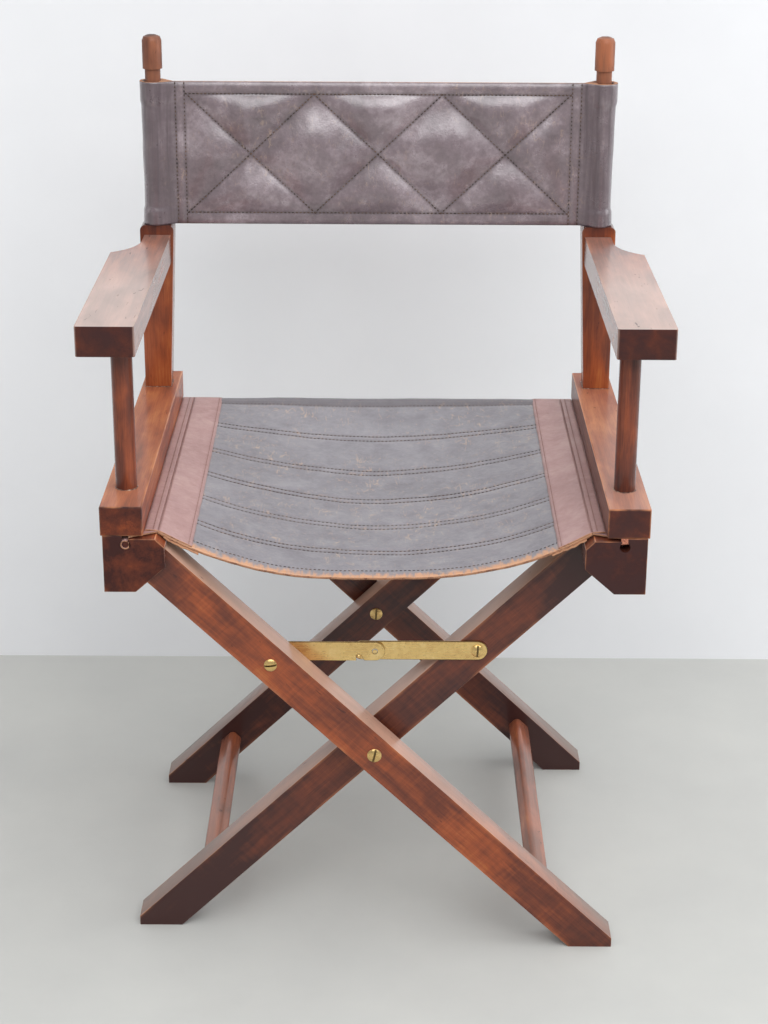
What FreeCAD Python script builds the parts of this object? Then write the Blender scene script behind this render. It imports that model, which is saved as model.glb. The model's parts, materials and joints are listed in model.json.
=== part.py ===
import FreeCAD, Part
import math
import os
import Sketcher

# Folding directors chair with crossed wooden legs, leather seat and back, and brass fittings.
# The frame stands on its four feet at z = 0, with x to the sitter's left-hand rail as the viewer's right,
# y towards the back, and the two leg pivots on the plane x = 0.

doc = FreeCAD.newDocument("directors_chair")
sheet = doc.addObject("Spreadsheet::Sheet", "Sheet")

SIZES = [
    # Crossed legs
    ("open_angle", "44"), ("pivot_height", "233"), ("hinge_x", "228"),
    ("leg_width", "40"), ("leg_thick", "34"), ("leg_gap", "6"), ("cheek", "9"), ("tip_blunt", "11"),
    ("stretcher_set", "64.7"), ("stretcher_width", "24"), ("stretcher_thick", "18"),
    ("stretcher_round", "6"), ("tenon_width", "16"), ("tenon_thick", "9"), ("tenon_deep", "16"),
    # Fits
    ("pin_play", "0.05"), ("side_play", "0.3"), ("glue_gap", "0.05"), ("leather_play", "0.3"),
    # Lower rail, measured from the hinge axis
    ("rail_length", "460"), ("hinge_to_sole", "31"), ("lower_height", "61"), ("lower_inner", "15.5"),
    ("lower_outer", "47"), ("lower_flat", "3"), ("lower_bevel", "12.5"), ("lower_nose", "21.5"),
    ("lower_sole", "15"), ("swing_room", "1"), ("hinge_rod", "8"), ("hinge_rod_stop", "4"),
    # Base rail
    ("base_height", "31.4"), ("base_inner", "6"), ("base_width", "43"),
    ("rail_screw", "4"), ("rail_screw_head", "8"), ("rail_screw_deep", "20"), ("rail_screw_sink", "24"),
    ("rail_screw_x", "37"), ("rail_screw_set", "27"),
    # Keyhole groove and seat leather
    ("seat_rod", "7"), ("seat_rod_x", "24"), ("seat_rod_drop", "9.4"), ("loop_wall", "1.6"),
    ("neck_width", "5.4"), ("leather", "2.6"), ("seat_front", "214"), ("seat_rear", "219"),
    ("mouth_inset", "8"), ("strip_width", "34"), ("strip_thick", "1.6"), ("sag_depth", "50"),
    ("sag_rise", "3"), ("side_curve", "1.6"),
    # Front post, back post, armrest and back rod
    ("post_round", "22"), ("post_x", "27.5"), ("post_set", "59"), ("post_reach", "151"),
    ("socket_deep", "18"), ("arm_thick", "31"), ("arm_inner", "9"), ("arm_width", "59"),
    ("arm_set", "18"), ("arm_neck", "30"), ("arm_neck_length", "30"), ("cove_radius", "60"),
    ("arm_ease", "3"),
    ("back_outer", "44"), ("back_foot", "30"), ("back_head", "38.5"), ("back_thick", "27"),
    ("back_set", "36.5"), ("back_rise", "11"), ("back_corner", "6"), ("back_tenon_width", "18"),
    ("back_tenon_thick", "14"), ("arm_dowel", "9"), ("arm_dowel_length", "36"), ("arm_dowel_deep", "16"),
    ("rod_round", "17.5"), ("rod_deep", "26"), ("rod_height", "176"),
    ("cap_round", "22"), ("cap_height", "37"), ("cap_ease", "6"),
    ("peg", "5.5"), ("peg_length", "20"),
    # Back leather
    ("sleeve_wall", "2.6"), ("sleeve_room", "0.5"), ("sleeve_lift", "0.3"), ("back_height", "162"),
    ("sleeve_reach", "25"), ("panel_thick", "5"), ("panel_forward", "4"), ("centre_gap", "0.3"),
    ("quilt_pitch", "72"), ("quilt_margin", "13.5"), ("channel", "4"), ("channel_deep", "1"),
    # Brass pivots and folding stay
    ("bolt", "8"), ("bolt_thread", "6"), ("bolt_head", "15"), ("bolt_rise", "3.4"), ("head_rim", "1.2"),
    ("head_slope", "2.8"), ("slot_wide", "2"), ("slot_deep", "1.6"), ("barrel_length", "28"),
    ("washer", "19"),
    ("stay_reach", "150"), ("strap_width", "21"), ("strap_thick", "2.3"), ("strap_tail", "24"),
    ("stay_screw", "5"), ("stay_head", "13.5"), ("stay_rise", "3.2"), ("stay_burr", "9"),
    ("stay_burr_thick", "1"), ("stay_rivet", "6"), ("stud", "4.5"), ("stud_back", "17"),
    ("stud_drop", "6.5"), ("notch_slant", "0.5"),
]
for row, (alias, number) in enumerate(SIZES, 1):
    sheet.set("A%d" % row, alias)
    sheet.set("B%d" % row, number)
    sheet.setAlias("B%d" % row, alias)
doc.recompute()


def size(alias):
    """The number in one cell of the sheet."""
    return float(sheet.get(alias))


def of_sheet(words):
    """An expression in which each sheet word points at its cell."""
    for alias, _ in sorted(SIZES, key=lambda pair: -len(pair[0])):
        words = words.replace("{%s}" % alias, "Sheet." + alias)
    return "(" + words + ")"


# Places worked out from the sizes
angle = of_sheet("{open_angle} * 1 deg")
hinge_arm = of_sheet("{hinge_x} / cos" + angle)
hinge_z = of_sheet("{pivot_height} + {hinge_x} * tan" + angle)
lower_bottom = of_sheet(hinge_z + " - {hinge_to_sole}")
lower_top = of_sheet(lower_bottom + " + {lower_height}")
base_top = of_sheet(lower_top + " + {base_height}")
arm_bottom = of_sheet(base_top + " + {post_reach}")
arm_top = of_sheet(arm_bottom + " + {arm_thick}")
back_top = of_sheet(arm_top + " + {back_rise}")
rail_rear = of_sheet("{rail_length} / 2")
outer_leg_y = of_sheet(rail_rear + " - {cheek} - {leg_thick} / 2")
inner_leg_y = of_sheet(outer_leg_y + " - {leg_thick} - {leg_gap}")
gap_y = of_sheet(outer_leg_y + " - {leg_thick} / 2 - {leg_gap} / 2")
back_y = of_sheet(rail_rear + " - {back_set} - {back_thick} / 2")
rod_x = of_sheet("{hinge_x} + {back_outer} - {back_head} / 2")
front_post_x = of_sheet("{hinge_x} + {post_x}")
front_post_y = of_sheet("{post_set} - {rail_length} / 2")
seat_rod_x = of_sheet("{hinge_x} + {seat_rod_x}")
seat_rod_z = of_sheet(lower_top + " - {seat_rod_drop}")
loop_round = of_sheet("{seat_rod} + 2 * {loop_wall} + 2 * {pin_play}")
slot_floor = of_sheet(lower_top + " - {leather} - 2 * {leather_play}")
seat_mouth = of_sheet("{hinge_x} - {mouth_inset}")
seat_y = of_sheet("({seat_rear} - {seat_front}) / 2")
seat_long = of_sheet("{seat_rear} + {seat_front}")
sleeve_bore = of_sheet("{cap_round} + 2 * {sleeve_room}")
sleeve_round = of_sheet(sleeve_bore + " + 2 * {sleeve_wall}")
sleeve_z = of_sheet(back_top + " + {sleeve_lift} + {back_height} / 2")
panel_y = of_sheet(back_y + " - {panel_forward}")
panel_end = of_sheet(rod_x + " - {sleeve_reach}")
stay_half = of_sheet("{stay_reach} * cos" + angle)
stay_z = of_sheet("{pivot_height} + {stay_reach} * sin" + angle)
strap_step = of_sheet("({leg_gap} - 2 * {strap_thick}) / 3")
strap_offset = of_sheet("{leg_gap} / 2 - " + strap_step + " - {strap_thick} / 2")

# Straight pieces that make up the sagging leather: along y, across a strip and across half a panel
SEAT_STEPS = 6
STRIP_STEPS = 2
PANEL_STEPS = 5

# Radius of the ring on which an outline's points lie before they are tied
ROUGH_RING = 100

NORMAL_SIGN = {"XY_Plane": "", "XZ_Plane": "-", "YZ_Plane": ""}


def new_body(label):
    """An empty body whose label names its file."""
    body = doc.addObject("PartDesign::Body", label)
    body.Label = label
    return body


def new_sketch(body, role, middle):
    """A sketch on one origin plane of the body, moved along that plane's axis to `middle`."""
    plane = next(item for item in body.Origin.OriginFeatures if item.Role == role)
    sketch = body.newObject("Sketcher::SketchObject", body.Label + "_sketch")
    sketch.AttachmentSupport = [(plane, "")]
    sketch.MapMode = "FlatFace"
    sketch.setExpression("AttachmentOffset.Base.z", NORMAL_SIGN[role] + "(" + middle + ")")
    return sketch


def hold(sketch, index, position, place):
    """Ties one point of the sketch to two expressions."""
    for kind, words in zip(("DistanceX", "DistanceY"), place):
        item = sketch.addConstraint(Sketcher.Constraint(kind, -1, 1, index, position, 1.0))
        sketch.setExpression("Constraints[%d]" % item, words)


def draw_polygon(sketch, places):
    """A closed outline through the given places."""
    count = len(places)
    turn = [2 * math.pi * i / count for i in range(count)]
    start = [FreeCAD.Vector(math.cos(t), math.sin(t), 0) * ROUGH_RING for t in turn]
    first = sketch.GeometryCount
    for i in range(count):
        sketch.addGeometry(Part.LineSegment(start[i], start[(i + 1) % count]))
    for i in range(count):
        sketch.addConstraint(Sketcher.Constraint("Coincident", first + i, 2, first + (i + 1) % count, 1))
        hold(sketch, first + i, 1, places[i])


def draw_circle(sketch, place, diameter):
    """A circle of the given diameter."""
    index = sketch.addGeometry(Part.Circle(FreeCAD.Vector(0, 0, 0), FreeCAD.Vector(0, 0, 1), 5.0))
    hold(sketch, index, 3, place)
    item = sketch.addConstraint(Sketcher.Constraint("Diameter", index, 10.0))
    sketch.setExpression("Constraints[%d]" % item, diameter)


def feature(body, kind, role, middle, length, polygons=(), circles=()):
    """A pad or pocket of one sketch, equal on both sides of the plane at `middle`."""
    sketch = new_sketch(body, role, middle)
    for places in polygons:
        draw_polygon(sketch, places)
    for place, diameter in circles:
        draw_circle(sketch, place, diameter)
    doc.recompute()
    before = body.Shape.Volume if body.Tip else 0.0
    item = body.newObject("PartDesign::" + kind, body.Label + "_" + kind.lower())
    item.Profile = sketch
    item.SideType = "Symmetric"
    item.Type = "Length"
    item.setExpression("Length", length)
    doc.recompute()
    if abs(body.Shape.Volume - before) < 1e-3:
        raise RuntimeError(body.Label + ": a " + kind + " changed nothing")
    return item


def pad(body, role, middle, length, **shapes):
    return feature(body, "Pad", role, middle, length, **shapes)


def pocket(body, role, middle, length, **shapes):
    return feature(body, "Pocket", role, middle, length, **shapes)


def turn(body, outline):
    """A solid of revolution round the body's own z axis; the outline runs in radius and height."""
    sketch = new_sketch(body, "XZ_Plane", "0")
    draw_polygon(sketch, outline)
    item = body.newObject("PartDesign::Revolution", body.Label + "_turned")
    item.Profile = sketch
    item.ReferenceAxis = (sketch, ["V_Axis"])
    item.Angle = 360.0
    doc.recompute()
    return item


def ease(body, picks, radius):
    """Rounds the edges of the body that `picks` accepts."""
    tip = body.Tip
    names = ["Edge%d" % (i + 1) for i, edge in enumerate(tip.Shape.Edges) if picks(edge)]
    item = body.newObject("PartDesign::Fillet", body.Label + "_eased")
    item.Base = (tip, names)
    item.setExpression("Radius", radius)
    doc.recompute()
    return item


def place(item, x="0", y="0", z="0", axis=None, degrees=None):
    """Sets the position of an object and, where given, its turn about one axis."""
    if axis:
        item.Placement.Rotation = FreeCAD.Rotation(FreeCAD.Vector(*axis), 1.0)
        item.setExpression("Placement.Rotation.Angle", degrees)
    for name, words in zip("xyz", (x, y, z)):
        item.setExpression("Placement.Base." + name, words)


def mirrored(source, label, normal=(1, 0, 0)):
    """The mirror image of an object about a plane through the origin."""
    item = doc.addObject("Part::Mirroring", label)
    item.Label = label
    item.Source = source
    item.Normal = FreeCAD.Vector(*normal)
    return item


def group(label, items):
    """Several equal pieces as one node."""
    item = doc.addObject("Part::Compound", label)
    item.Label = label
    item.Links = items
    return item


def rectangle(left, right, low, high):
    """The four corners of an upright rectangle."""
    return [(left, low), (right, low), (right, high), (left, high)]


def rod_along_y(label, diameter, length, x, y_middle, z):
    """A round rod that lies along y."""
    rod = doc.addObject("Part::Cylinder", label)
    rod.Label = label
    rod.setExpression("Radius", of_sheet(diameter + " / 2"))
    rod.setExpression("Height", length)
    place(rod, x, of_sheet(y_middle + " + " + length + " / 2"), z, (1, 0, 0), "90 deg")
    return rod


# Crossed legs: each is drawn along its own axis from the pivot, hinge end towards -x, then turned to stand
foot_low = of_sheet("({pivot_height} - {leg_width} / 2 * cos" + angle + ") / sin" + angle)
foot_tip = of_sheet("({pivot_height} + {leg_width} / 2 * cos" + angle + ") / sin" + angle)
stretcher_reach = of_sheet(foot_low + " - {stretcher_set}")


def leg_outline(up):
    """The side view of a leg; `up`, "" or "-", says which way its upper edge lies."""
    down = "-" if up == "" else ""
    blunt = of_sheet("{leg_width} / 2 - {tip_blunt} * sin" + angle)
    half = of_sheet("{leg_width} / 2")
    return [
        ("-" + hinge_arm, down + half),
        (foot_low, down + half),
        (of_sheet(foot_tip + " - {tip_blunt} * cos" + angle), up + blunt),
        (of_sheet(foot_tip + " - {tip_blunt} / cos" + angle), up + half),
        ("-" + hinge_arm, up + half),
    ]


thick = of_sheet("{leg_thick}")
bolt_hole = of_sheet("{bolt} + 2 * {pin_play}")
hinge_hole = of_sheet("{hinge_rod} + 2 * {pin_play}")
stay_hole = of_sheet("{stay_screw} + 2 * {glue_gap}")


def stretcher_tenon(room):
    """The end of a stretcher's tenon on its leg, grown by `room` on each side."""
    wide = of_sheet("{tenon_width} / 2 + " + room)
    tall = of_sheet("{tenon_thick} / 2 + " + room)
    return rectangle(of_sheet(stretcher_reach + " - " + wide), of_sheet(stretcher_reach + " + " + wide),
                     "-" + tall, tall)


def leg(label, up, inner_face, stay_screw=False):
    """One leg; `inner_face` is the side, -1 or 1 along y, in which the stretcher's tenon sits."""
    body = new_body(label)
    pad(body, "XZ_Plane", "0", thick, polygons=[leg_outline(up)])
    pad(body, "XZ_Plane", "0", thick, circles=[(("-" + hinge_arm, "0"), of_sheet("{leg_width}"))])
    holes = [(("0", "0"), bolt_hole), (("-" + hinge_arm, "0"), hinge_hole)]
    if stay_screw:
        holes.append((("-Sheet.stay_reach", "0"), stay_hole))
    pocket(body, "XZ_Plane", "0", thick, circles=holes)
    deep = of_sheet("{tenon_deep} + {glue_gap}")
    middle = of_sheet("%d * ({leg_thick} - {tenon_deep} - {glue_gap}) / 2" % inner_face)
    pocket(body, "XZ_Plane", middle, deep, polygons=[stretcher_tenon("Sheet.glue_gap")])
    return body


def stretcher(label, between):
    """The bar between a front and a rear leg near the feet, with a tenon at each end."""
    body = new_body(label)
    wide = of_sheet("{stretcher_width} / 2")
    tall = of_sheet("{stretcher_thick} / 2")
    bar = rectangle(of_sheet(stretcher_reach + " - " + wide), of_sheet(stretcher_reach + " + " + wide),
                    "-" + tall, tall)
    pad(body, "XZ_Plane", "0", between, polygons=[bar])
    ease(body, lambda edge: abs(edge.tangentAt(edge.FirstParameter).y) > 0.99, "Sheet.stretcher_round")
    full = of_sheet(between + " + 2 * {tenon_deep}")
    pad(body, "XZ_Plane", "0", full, polygons=[stretcher_tenon("0")])
    return body


def stand(body, y, side):
    """Turns a leg or stretcher to its open angle; side 1 has its foot towards +x."""
    turned = angle if side > 0 else of_sheet("180 deg - " + angle)
    place(body, "0", y, "Sheet.pivot_height", (0, 1, 0), turned)


stand(leg("outer_leg_front", "", 1, True), "-" + outer_leg_y, 1)
stand(leg("outer_leg_rear", "", -1), outer_leg_y, 1)
outer_between = of_sheet("2 * " + outer_leg_y + " - {leg_thick}")
inner_between = of_sheet("2 * " + inner_leg_y + " - {leg_thick}")
stand(stretcher("outer_stretcher", outer_between), "0", 1)
stand(leg("inner_leg_front", "-", 1), "-" + inner_leg_y, -1)
stand(leg("inner_leg_rear", "-", -1), inner_leg_y, -1)
stand(stretcher("inner_stretcher", inner_between), "0", -1)

# Lower rail: a bevelled bar with the keyhole groove above and two pockets in which the legs swing
LOWER_OUTLINE = [
    (of_sheet("{hinge_x} + {lower_outer}"), lower_top),
    (of_sheet("{hinge_x} - {lower_flat}"), lower_top),
    (of_sheet("{hinge_x} - {lower_inner}"), of_sheet(lower_top + " - {lower_bevel}")),
    (of_sheet("{hinge_x} - {lower_inner}"), of_sheet(lower_top + " - {lower_bevel} - {lower_nose}")),
    (of_sheet("{hinge_x} + {lower_sole}"), lower_bottom),
    (of_sheet("{hinge_x} + {lower_outer}"), lower_bottom),
]
rail_long = of_sheet("{rail_length}")
groove_round = of_sheet(loop_round + " + 2 * {leather_play}")
neck_half = of_sheet("{neck_width} / 2 + {leather_play}")
swing_round = of_sheet("{leg_width} + 2 * {swing_room}")
swing_outer = of_sheet("{hinge_x} + " + swing_round + " / 2")
rail_inside = of_sheet("{hinge_x} - {leg_width}")
below_rail = of_sheet(lower_bottom + " - {leg_width}")
swing_wide = of_sheet("{leg_thick} + 2 * {side_play}")
screw_x = of_sheet("{hinge_x} + {rail_screw_x}")
screw_front = of_sheet(front_post_y + " + {rail_screw_set}")
screw_rear = of_sheet(back_y + " - {rail_screw_set}")
SCREW_PLACES = [(screw_x, screw_front), (screw_x, screw_rear)]
screw_hole = of_sheet("{rail_screw} + 2 * {glue_gap}")
head_hole = of_sheet("{rail_screw_head} + 2 * {glue_gap}")
sink_middle = of_sheet(lower_bottom + " + {rail_screw_sink} / 2")


def lower_rail(label, leg_y):
    """One lower rail on the +x side, with its legs at plus and minus `leg_y`."""
    body = new_body(label)
    pad(body, "XZ_Plane", "0", rail_long, polygons=[LOWER_OUTLINE])
    pocket(body, "XZ_Plane", "0", rail_long, circles=[((seat_rod_x, seat_rod_z), groove_round)])
    neck = rectangle(of_sheet(seat_rod_x + " - " + neck_half), of_sheet(seat_rod_x + " + " + neck_half),
                     seat_rod_z, lower_top)
    pocket(body, "XZ_Plane", "0", rail_long, polygons=[neck])
    slot = rectangle(rail_inside, seat_rod_x, slot_floor, lower_top)
    pocket(body, "XZ_Plane", "0", rail_long, polygons=[slot])
    hinge_place = ("Sheet.hinge_x", hinge_z)
    swing = rectangle(rail_inside, swing_outer, below_rail, hinge_z)
    for middle in ("-" + leg_y, leg_y):
        pocket(body, "XZ_Plane", middle, swing_wide, polygons=[swing])
        pocket(body, "XZ_Plane", middle, swing_wide, circles=[(hinge_place, swing_round)])
    bore = of_sheet("{hinge_rod} + 2 * {glue_gap}")
    pocket(body, "XZ_Plane", of_sheet("{hinge_rod_stop} / 2"), of_sheet("{rail_length} - {hinge_rod_stop}"),
           circles=[(hinge_place, bore)])
    pocket(body, "XY_Plane", lower_bottom, of_sheet("2 * {lower_height}"),
           circles=[(spot, screw_hole) for spot in SCREW_PLACES])
    pocket(body, "XY_Plane", sink_middle, of_sheet("{rail_screw_sink}"),
           circles=[(spot, head_hole) for spot in SCREW_PLACES])
    return body


lower_rail("lower_rail_right", inner_leg_y)
left_rail = lower_rail("left_rail_pattern", outer_leg_y)
mirrored(left_rail, "lower_rail_left")

# Base rail: a square bar that carries both posts
post_hole = of_sheet("{post_round} + 2 * {glue_gap}")
peg_hole = of_sheet("{peg} + 2 * {glue_gap}")
deep_socket = of_sheet("{socket_deep} + {glue_gap}")
base_left = of_sheet("{hinge_x} + {base_inner}")
socket_middle = of_sheet(base_top + " - " + deep_socket + " / 2")
tenon_x = of_sheet("{hinge_x} + {back_outer} - {back_foot} / 2")
tenon_z = of_sheet(base_top + " - {socket_deep} / 2")
arm_peg_z = of_sheet(arm_bottom + " + {socket_deep} / 2")
arm_left = of_sheet("{hinge_x} + {arm_inner}")


def tenon_outline(room):
    """The back post's tenon seen from above, grown by `room` on each side."""
    wide = of_sheet("{back_tenon_width} / 2 + " + room)
    deep = of_sheet("{back_tenon_thick} / 2 + " + room)
    return rectangle(of_sheet(tenon_x + " - " + wide), of_sheet(tenon_x + " + " + wide),
                     of_sheet(back_y + " - " + deep), of_sheet(back_y + " + " + deep))


def peg_bore(body, left, y, z):
    """The bore of a peg driven in from the inner face at `left`."""
    middle = of_sheet(left + " + {peg_length} / 2")
    pocket(body, "YZ_Plane", middle, of_sheet("{peg_length} + 2 * {glue_gap}"), circles=[((y, z), peg_hole)])


base = new_body("base_rail_right")
pad(base, "XZ_Plane", "0", rail_long,
    polygons=[rectangle(base_left, of_sheet(base_left + " + {base_width}"), lower_top, base_top)])
pocket(base, "XY_Plane", socket_middle, deep_socket, circles=[((front_post_x, front_post_y), post_hole)])
pocket(base, "XY_Plane", socket_middle, deep_socket, polygons=[tenon_outline("Sheet.glue_gap")])
peg_bore(base, base_left, back_y, tenon_z)
pocket(base, "XY_Plane", of_sheet(lower_top + " + {rail_screw_deep} / 2"), of_sheet("{rail_screw_deep}"),
       circles=[(spot, screw_hole) for spot in SCREW_PLACES])

# Front post: a plain round stick let into the base rail and the armrest
post = new_body("front_post_right")
post_long = of_sheet("{post_reach} + 2 * {socket_deep}")
post_middle = of_sheet(base_top + " + {post_reach} / 2")
pad(post, "XY_Plane", post_middle, post_long,
    circles=[((front_post_x, front_post_y), of_sheet("{post_round}"))])
peg_bore(post, arm_left, front_post_y, arm_peg_z)

# Back post: a flat board that widens upwards, with a tenon below and a socket for the back rod above
back = new_body("back_post_right")
back_edge = of_sheet("{hinge_x} + {back_outer}")
BACK_OUTLINE = [
    (back_edge, base_top),
    (back_edge, back_top),
    (of_sheet(back_edge + " - {back_head}"), back_top),
    (of_sheet(back_edge + " - {back_foot}"), base_top),
]
pad(back, "XZ_Plane", back_y, of_sheet("{back_thick}"), polygons=[BACK_OUTLINE])
ease(back, lambda edge: abs(edge.tangentAt(edge.FirstParameter).y) > 0.99
     and edge.CenterOfMass.z > back.Shape.BoundBox.ZMax - 1, "Sheet.back_corner")
pad(back, "XY_Plane", tenon_z, of_sheet("{socket_deep}"), polygons=[tenon_outline("0")])
peg_bore(back, base_left, back_y, tenon_z)
rod_socket = of_sheet("{rod_deep} + {glue_gap}")
pocket(back, "XY_Plane", of_sheet(back_top + " - " + rod_socket + " / 2"), rod_socket,
       circles=[((rod_x, back_y), of_sheet("{rod_round} + 2 * {glue_gap}"))])
arm_end = of_sheet(back_y + " - {back_thick} / 2")
arm_middle = of_sheet(arm_bottom + " + {arm_thick} / 2")
dowel_x = of_sheet(arm_left + " + {arm_neck} / 2")
dowel_hole = of_sheet("{arm_dowel} + 2 * {glue_gap}")
dowel_room = of_sheet("{arm_dowel_length} + 2 * {glue_gap}")
dowel_y = of_sheet(arm_end + " - {arm_dowel_length} / 2 + {arm_dowel_deep}")
dowel_z = of_sheet("(" + arm_bottom + " + " + back_top + " - {rod_deep}) / 2")
pocket(back, "XZ_Plane", dowel_y, dowel_room, circles=[((dowel_x, dowel_z), dowel_hole)])

# Armrest: a thick board, straight inside, coved in to a narrow neck where it meets the back post
arm = new_body("armrest_right")
arm_front = of_sheet("{arm_set} - {rail_length} / 2")
arm_right = of_sheet(arm_left + " + {arm_width}")
neck_right = of_sheet(arm_left + " + {arm_neck}")
neck_start = of_sheet(arm_end + " - {arm_neck_length}")
arm_deep = of_sheet("{arm_thick}")
pad(arm, "XY_Plane", arm_middle, arm_deep, polygons=[rectangle(arm_left, arm_right, arm_front, arm_end)])
pocket(arm, "XY_Plane", arm_middle, arm_deep,
       polygons=[rectangle(neck_right, arm_right, neck_start, arm_end)])
pocket(arm, "XY_Plane", arm_middle, arm_deep,
       circles=[((of_sheet(neck_right + " + {cove_radius}"), neck_start), of_sheet("2 * {cove_radius}"))])
ease(arm, lambda edge: abs(edge.tangentAt(edge.FirstParameter).z) > 0.99
     and edge.CenterOfMass.y < arm.Shape.BoundBox.YMin + 1, "Sheet.arm_ease")
pocket(arm, "XY_Plane", of_sheet(arm_bottom + " + " + deep_socket + " / 2"), deep_socket,
       circles=[((front_post_x, front_post_y), post_hole)])
pocket(arm, "XZ_Plane", dowel_y, dowel_room, circles=[((dowel_x, dowel_z), dowel_hole)])
peg_bore(arm, arm_left, front_post_y, arm_peg_z)

# Back rod: turned in one piece with a wider rounded cap, and let into the top of the back post
rod = new_body("back_rod_right")
cap_low = of_sheet("{rod_height}")
cap_top = of_sheet("{rod_height} + {cap_height}")
cap_half = of_sheet("{cap_round} / 2")
turn(rod, [
    ("0", "-Sheet.rod_deep"),
    (of_sheet("{rod_round} / 2"), "-Sheet.rod_deep"),
    (of_sheet("{rod_round} / 2"), cap_low),
    (cap_half, cap_low),
    (cap_half, of_sheet(cap_top + " - {cap_ease}")),
    (of_sheet(cap_half + " - {cap_ease} * (1 - sin(45 deg))"),
     of_sheet(cap_top + " - {cap_ease} * (1 - cos(45 deg))")),
    (of_sheet(cap_half + " - {cap_ease}"), cap_top),
    ("0", cap_top),
])
place(rod, rod_x, back_y, back_top)

# Steel hinge rod, and the seat rod inside its leather loop
rod_long = of_sheet("{rail_length} - {hinge_rod_stop} - {side_play}")
hinge = rod_along_y("hinge_rod_right", "{hinge_rod}", rod_long, "Sheet.hinge_x",
                    of_sheet("{hinge_rod_stop} / 2"), hinge_z)
seat_stick = rod_along_y("seat_rod_right", "{seat_rod}", rail_long, seat_rod_x, "0", seat_rod_z)

# Leather loop: round the seat rod, up the neck of the keyhole and flat through the slot
loop = new_body("seat_loop_right")
leather_top = of_sheet(lower_top + " - {leather_play}")
leather_low = of_sheet(leather_top + " - {leather}")
neck_leather = of_sheet("{neck_width} / 2")
pad(loop, "XZ_Plane", seat_y, seat_long, circles=[((seat_rod_x, seat_rod_z), loop_round)])
pad(loop, "XZ_Plane", seat_y, seat_long,
    polygons=[rectangle(of_sheet(seat_rod_x + " - " + neck_leather),
                        of_sheet(seat_rod_x + " + " + neck_leather), seat_rod_z, leather_top)])
pad(loop, "XZ_Plane", seat_y, seat_long,
    polygons=[rectangle(of_sheet(seat_mouth + " + {centre_gap}"), seat_rod_x, leather_low, leather_top)])
pocket(loop, "XZ_Plane", seat_y, seat_long,
       circles=[((seat_rod_x, seat_rod_z), of_sheet("{seat_rod} + 2 * {pin_play}"))])

# Leather sleeve of the back: a teardrop round the rod that closes on the panel's edge
sleeve = new_body("back_sleeve_right")
sleeve_long = of_sheet("{back_height}")
half_panel = of_sheet("{panel_thick} / 2")
half_sleeve = of_sheet(sleeve_round + " / 2")
panel_mouth = of_sheet(panel_end + " + {centre_gap}")
pad(sleeve, "XY_Plane", sleeve_z, sleeve_long, circles=[((rod_x, back_y), sleeve_round)])
pad(sleeve, "XY_Plane", sleeve_z, sleeve_long, polygons=[[
    (panel_mouth, of_sheet(panel_y + " - " + half_panel)),
    (rod_x, of_sheet(back_y + " - " + half_sleeve)),
    (rod_x, of_sheet(back_y + " + " + half_sleeve)),
    (panel_mouth, of_sheet(panel_y + " + " + half_panel)),
]])
pocket(sleeve, "XY_Plane", sleeve_z, sleeve_long, circles=[((rod_x, back_y), sleeve_bore)])

# Quilted back panel, in two halves that fold on the centre line: two zigzags of sewn channels cross there
panel = new_body("back_panel_right")
panel_front = of_sheet(panel_y + " - " + half_panel)
pad(panel, "XY_Plane", sleeve_z, sleeve_long,
    polygons=[rectangle(of_sheet("{centre_gap} / 2"), panel_end, panel_front,
                        of_sheet(panel_y + " + " + half_panel))])
quilt_half = of_sheet("{back_height} / 2 - {quilt_margin}")
channel_half = of_sheet("{channel} / 2")


def channel(start, end):
    """A sewn channel across the front of the panel between two (x, z) places."""
    corners = [(x, of_sheet(z + " - " + channel_half)) for x, z in (start, end)]
    corners += [(x, of_sheet(z + " + " + channel_half)) for x, z in (end, start)]
    pocket(panel, "XZ_Plane", panel_front, of_sheet("2 * {channel_deep}"), polygons=[corners])


for up in ("+", "-"):
    down = "-" if up == "+" else "+"
    turning = ("Sheet.quilt_pitch", of_sheet(sleeve_z + up + quilt_half))
    channel(("0", sleeve_z), turning)
    channel(turning, (of_sheet("3 * {quilt_pitch}"), of_sheet(sleeve_z + down + quilt_half)))


def steps(start, end, count):
    """Even steps from start to end, both included."""
    return [start + (end - start) * i / count for i in range(count + 1)]


def section(x_places, y, lift, depth):
    """One cross-section of the sagging seat leather: top edge at `lift` above the panel, `depth` thick."""
    half = size("hinge_x") - size("mouth_inset")
    run = (size("seat_rear") - y) / (size("seat_rear") + size("seat_front"))
    drop = size("sag_depth") * (1 - (1 - run) ** size("sag_rise"))
    square = size("side_curve") + run ** 2
    hinge_height = size("pivot_height") + size("hinge_x") * math.tan(math.radians(size("open_angle")))
    top = hinge_height - size("hinge_to_sole") + size("lower_height") - size("leather_play") + lift
    upper = [FreeCAD.Vector(x, y, top - drop * (1 - (x / half) ** square)) for x in x_places]
    lower = [point - FreeCAD.Vector(0, 0, depth) for point in reversed(upper)]
    return Part.makePolygon(upper + lower + upper[:1])


def sagging(label, x_places, lift, depth):
    """A leather sheet that is tight along the rear edge and sags towards the front."""
    y_places = steps(size("seat_rear"), -size("seat_front"), SEAT_STEPS)
    wires = [section(x_places, y, lift, depth) for y in y_places]
    item = doc.addObject("Part::Feature", label)
    item.Label = label
    item.Shape = Part.makeLoft(wires, True, True)
    item.Placement = FreeCAD.Placement()
    return item


mouth = size("hinge_x") - size("mouth_inset")
strip_end = mouth - size("strip_width")
strip_steps = steps(mouth, strip_end, STRIP_STEPS)
panel_steps = strip_steps + steps(strip_end, size("centre_gap") / 2, PANEL_STEPS)[1:]
seat_panel = sagging("seat_panel_right", panel_steps, 0.0, size("leather"))
strip_lift = size("strip_thick") + size("glue_gap")
seat_strip = sagging("seat_strip_right", strip_steps, strip_lift, size("strip_thick"))


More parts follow.
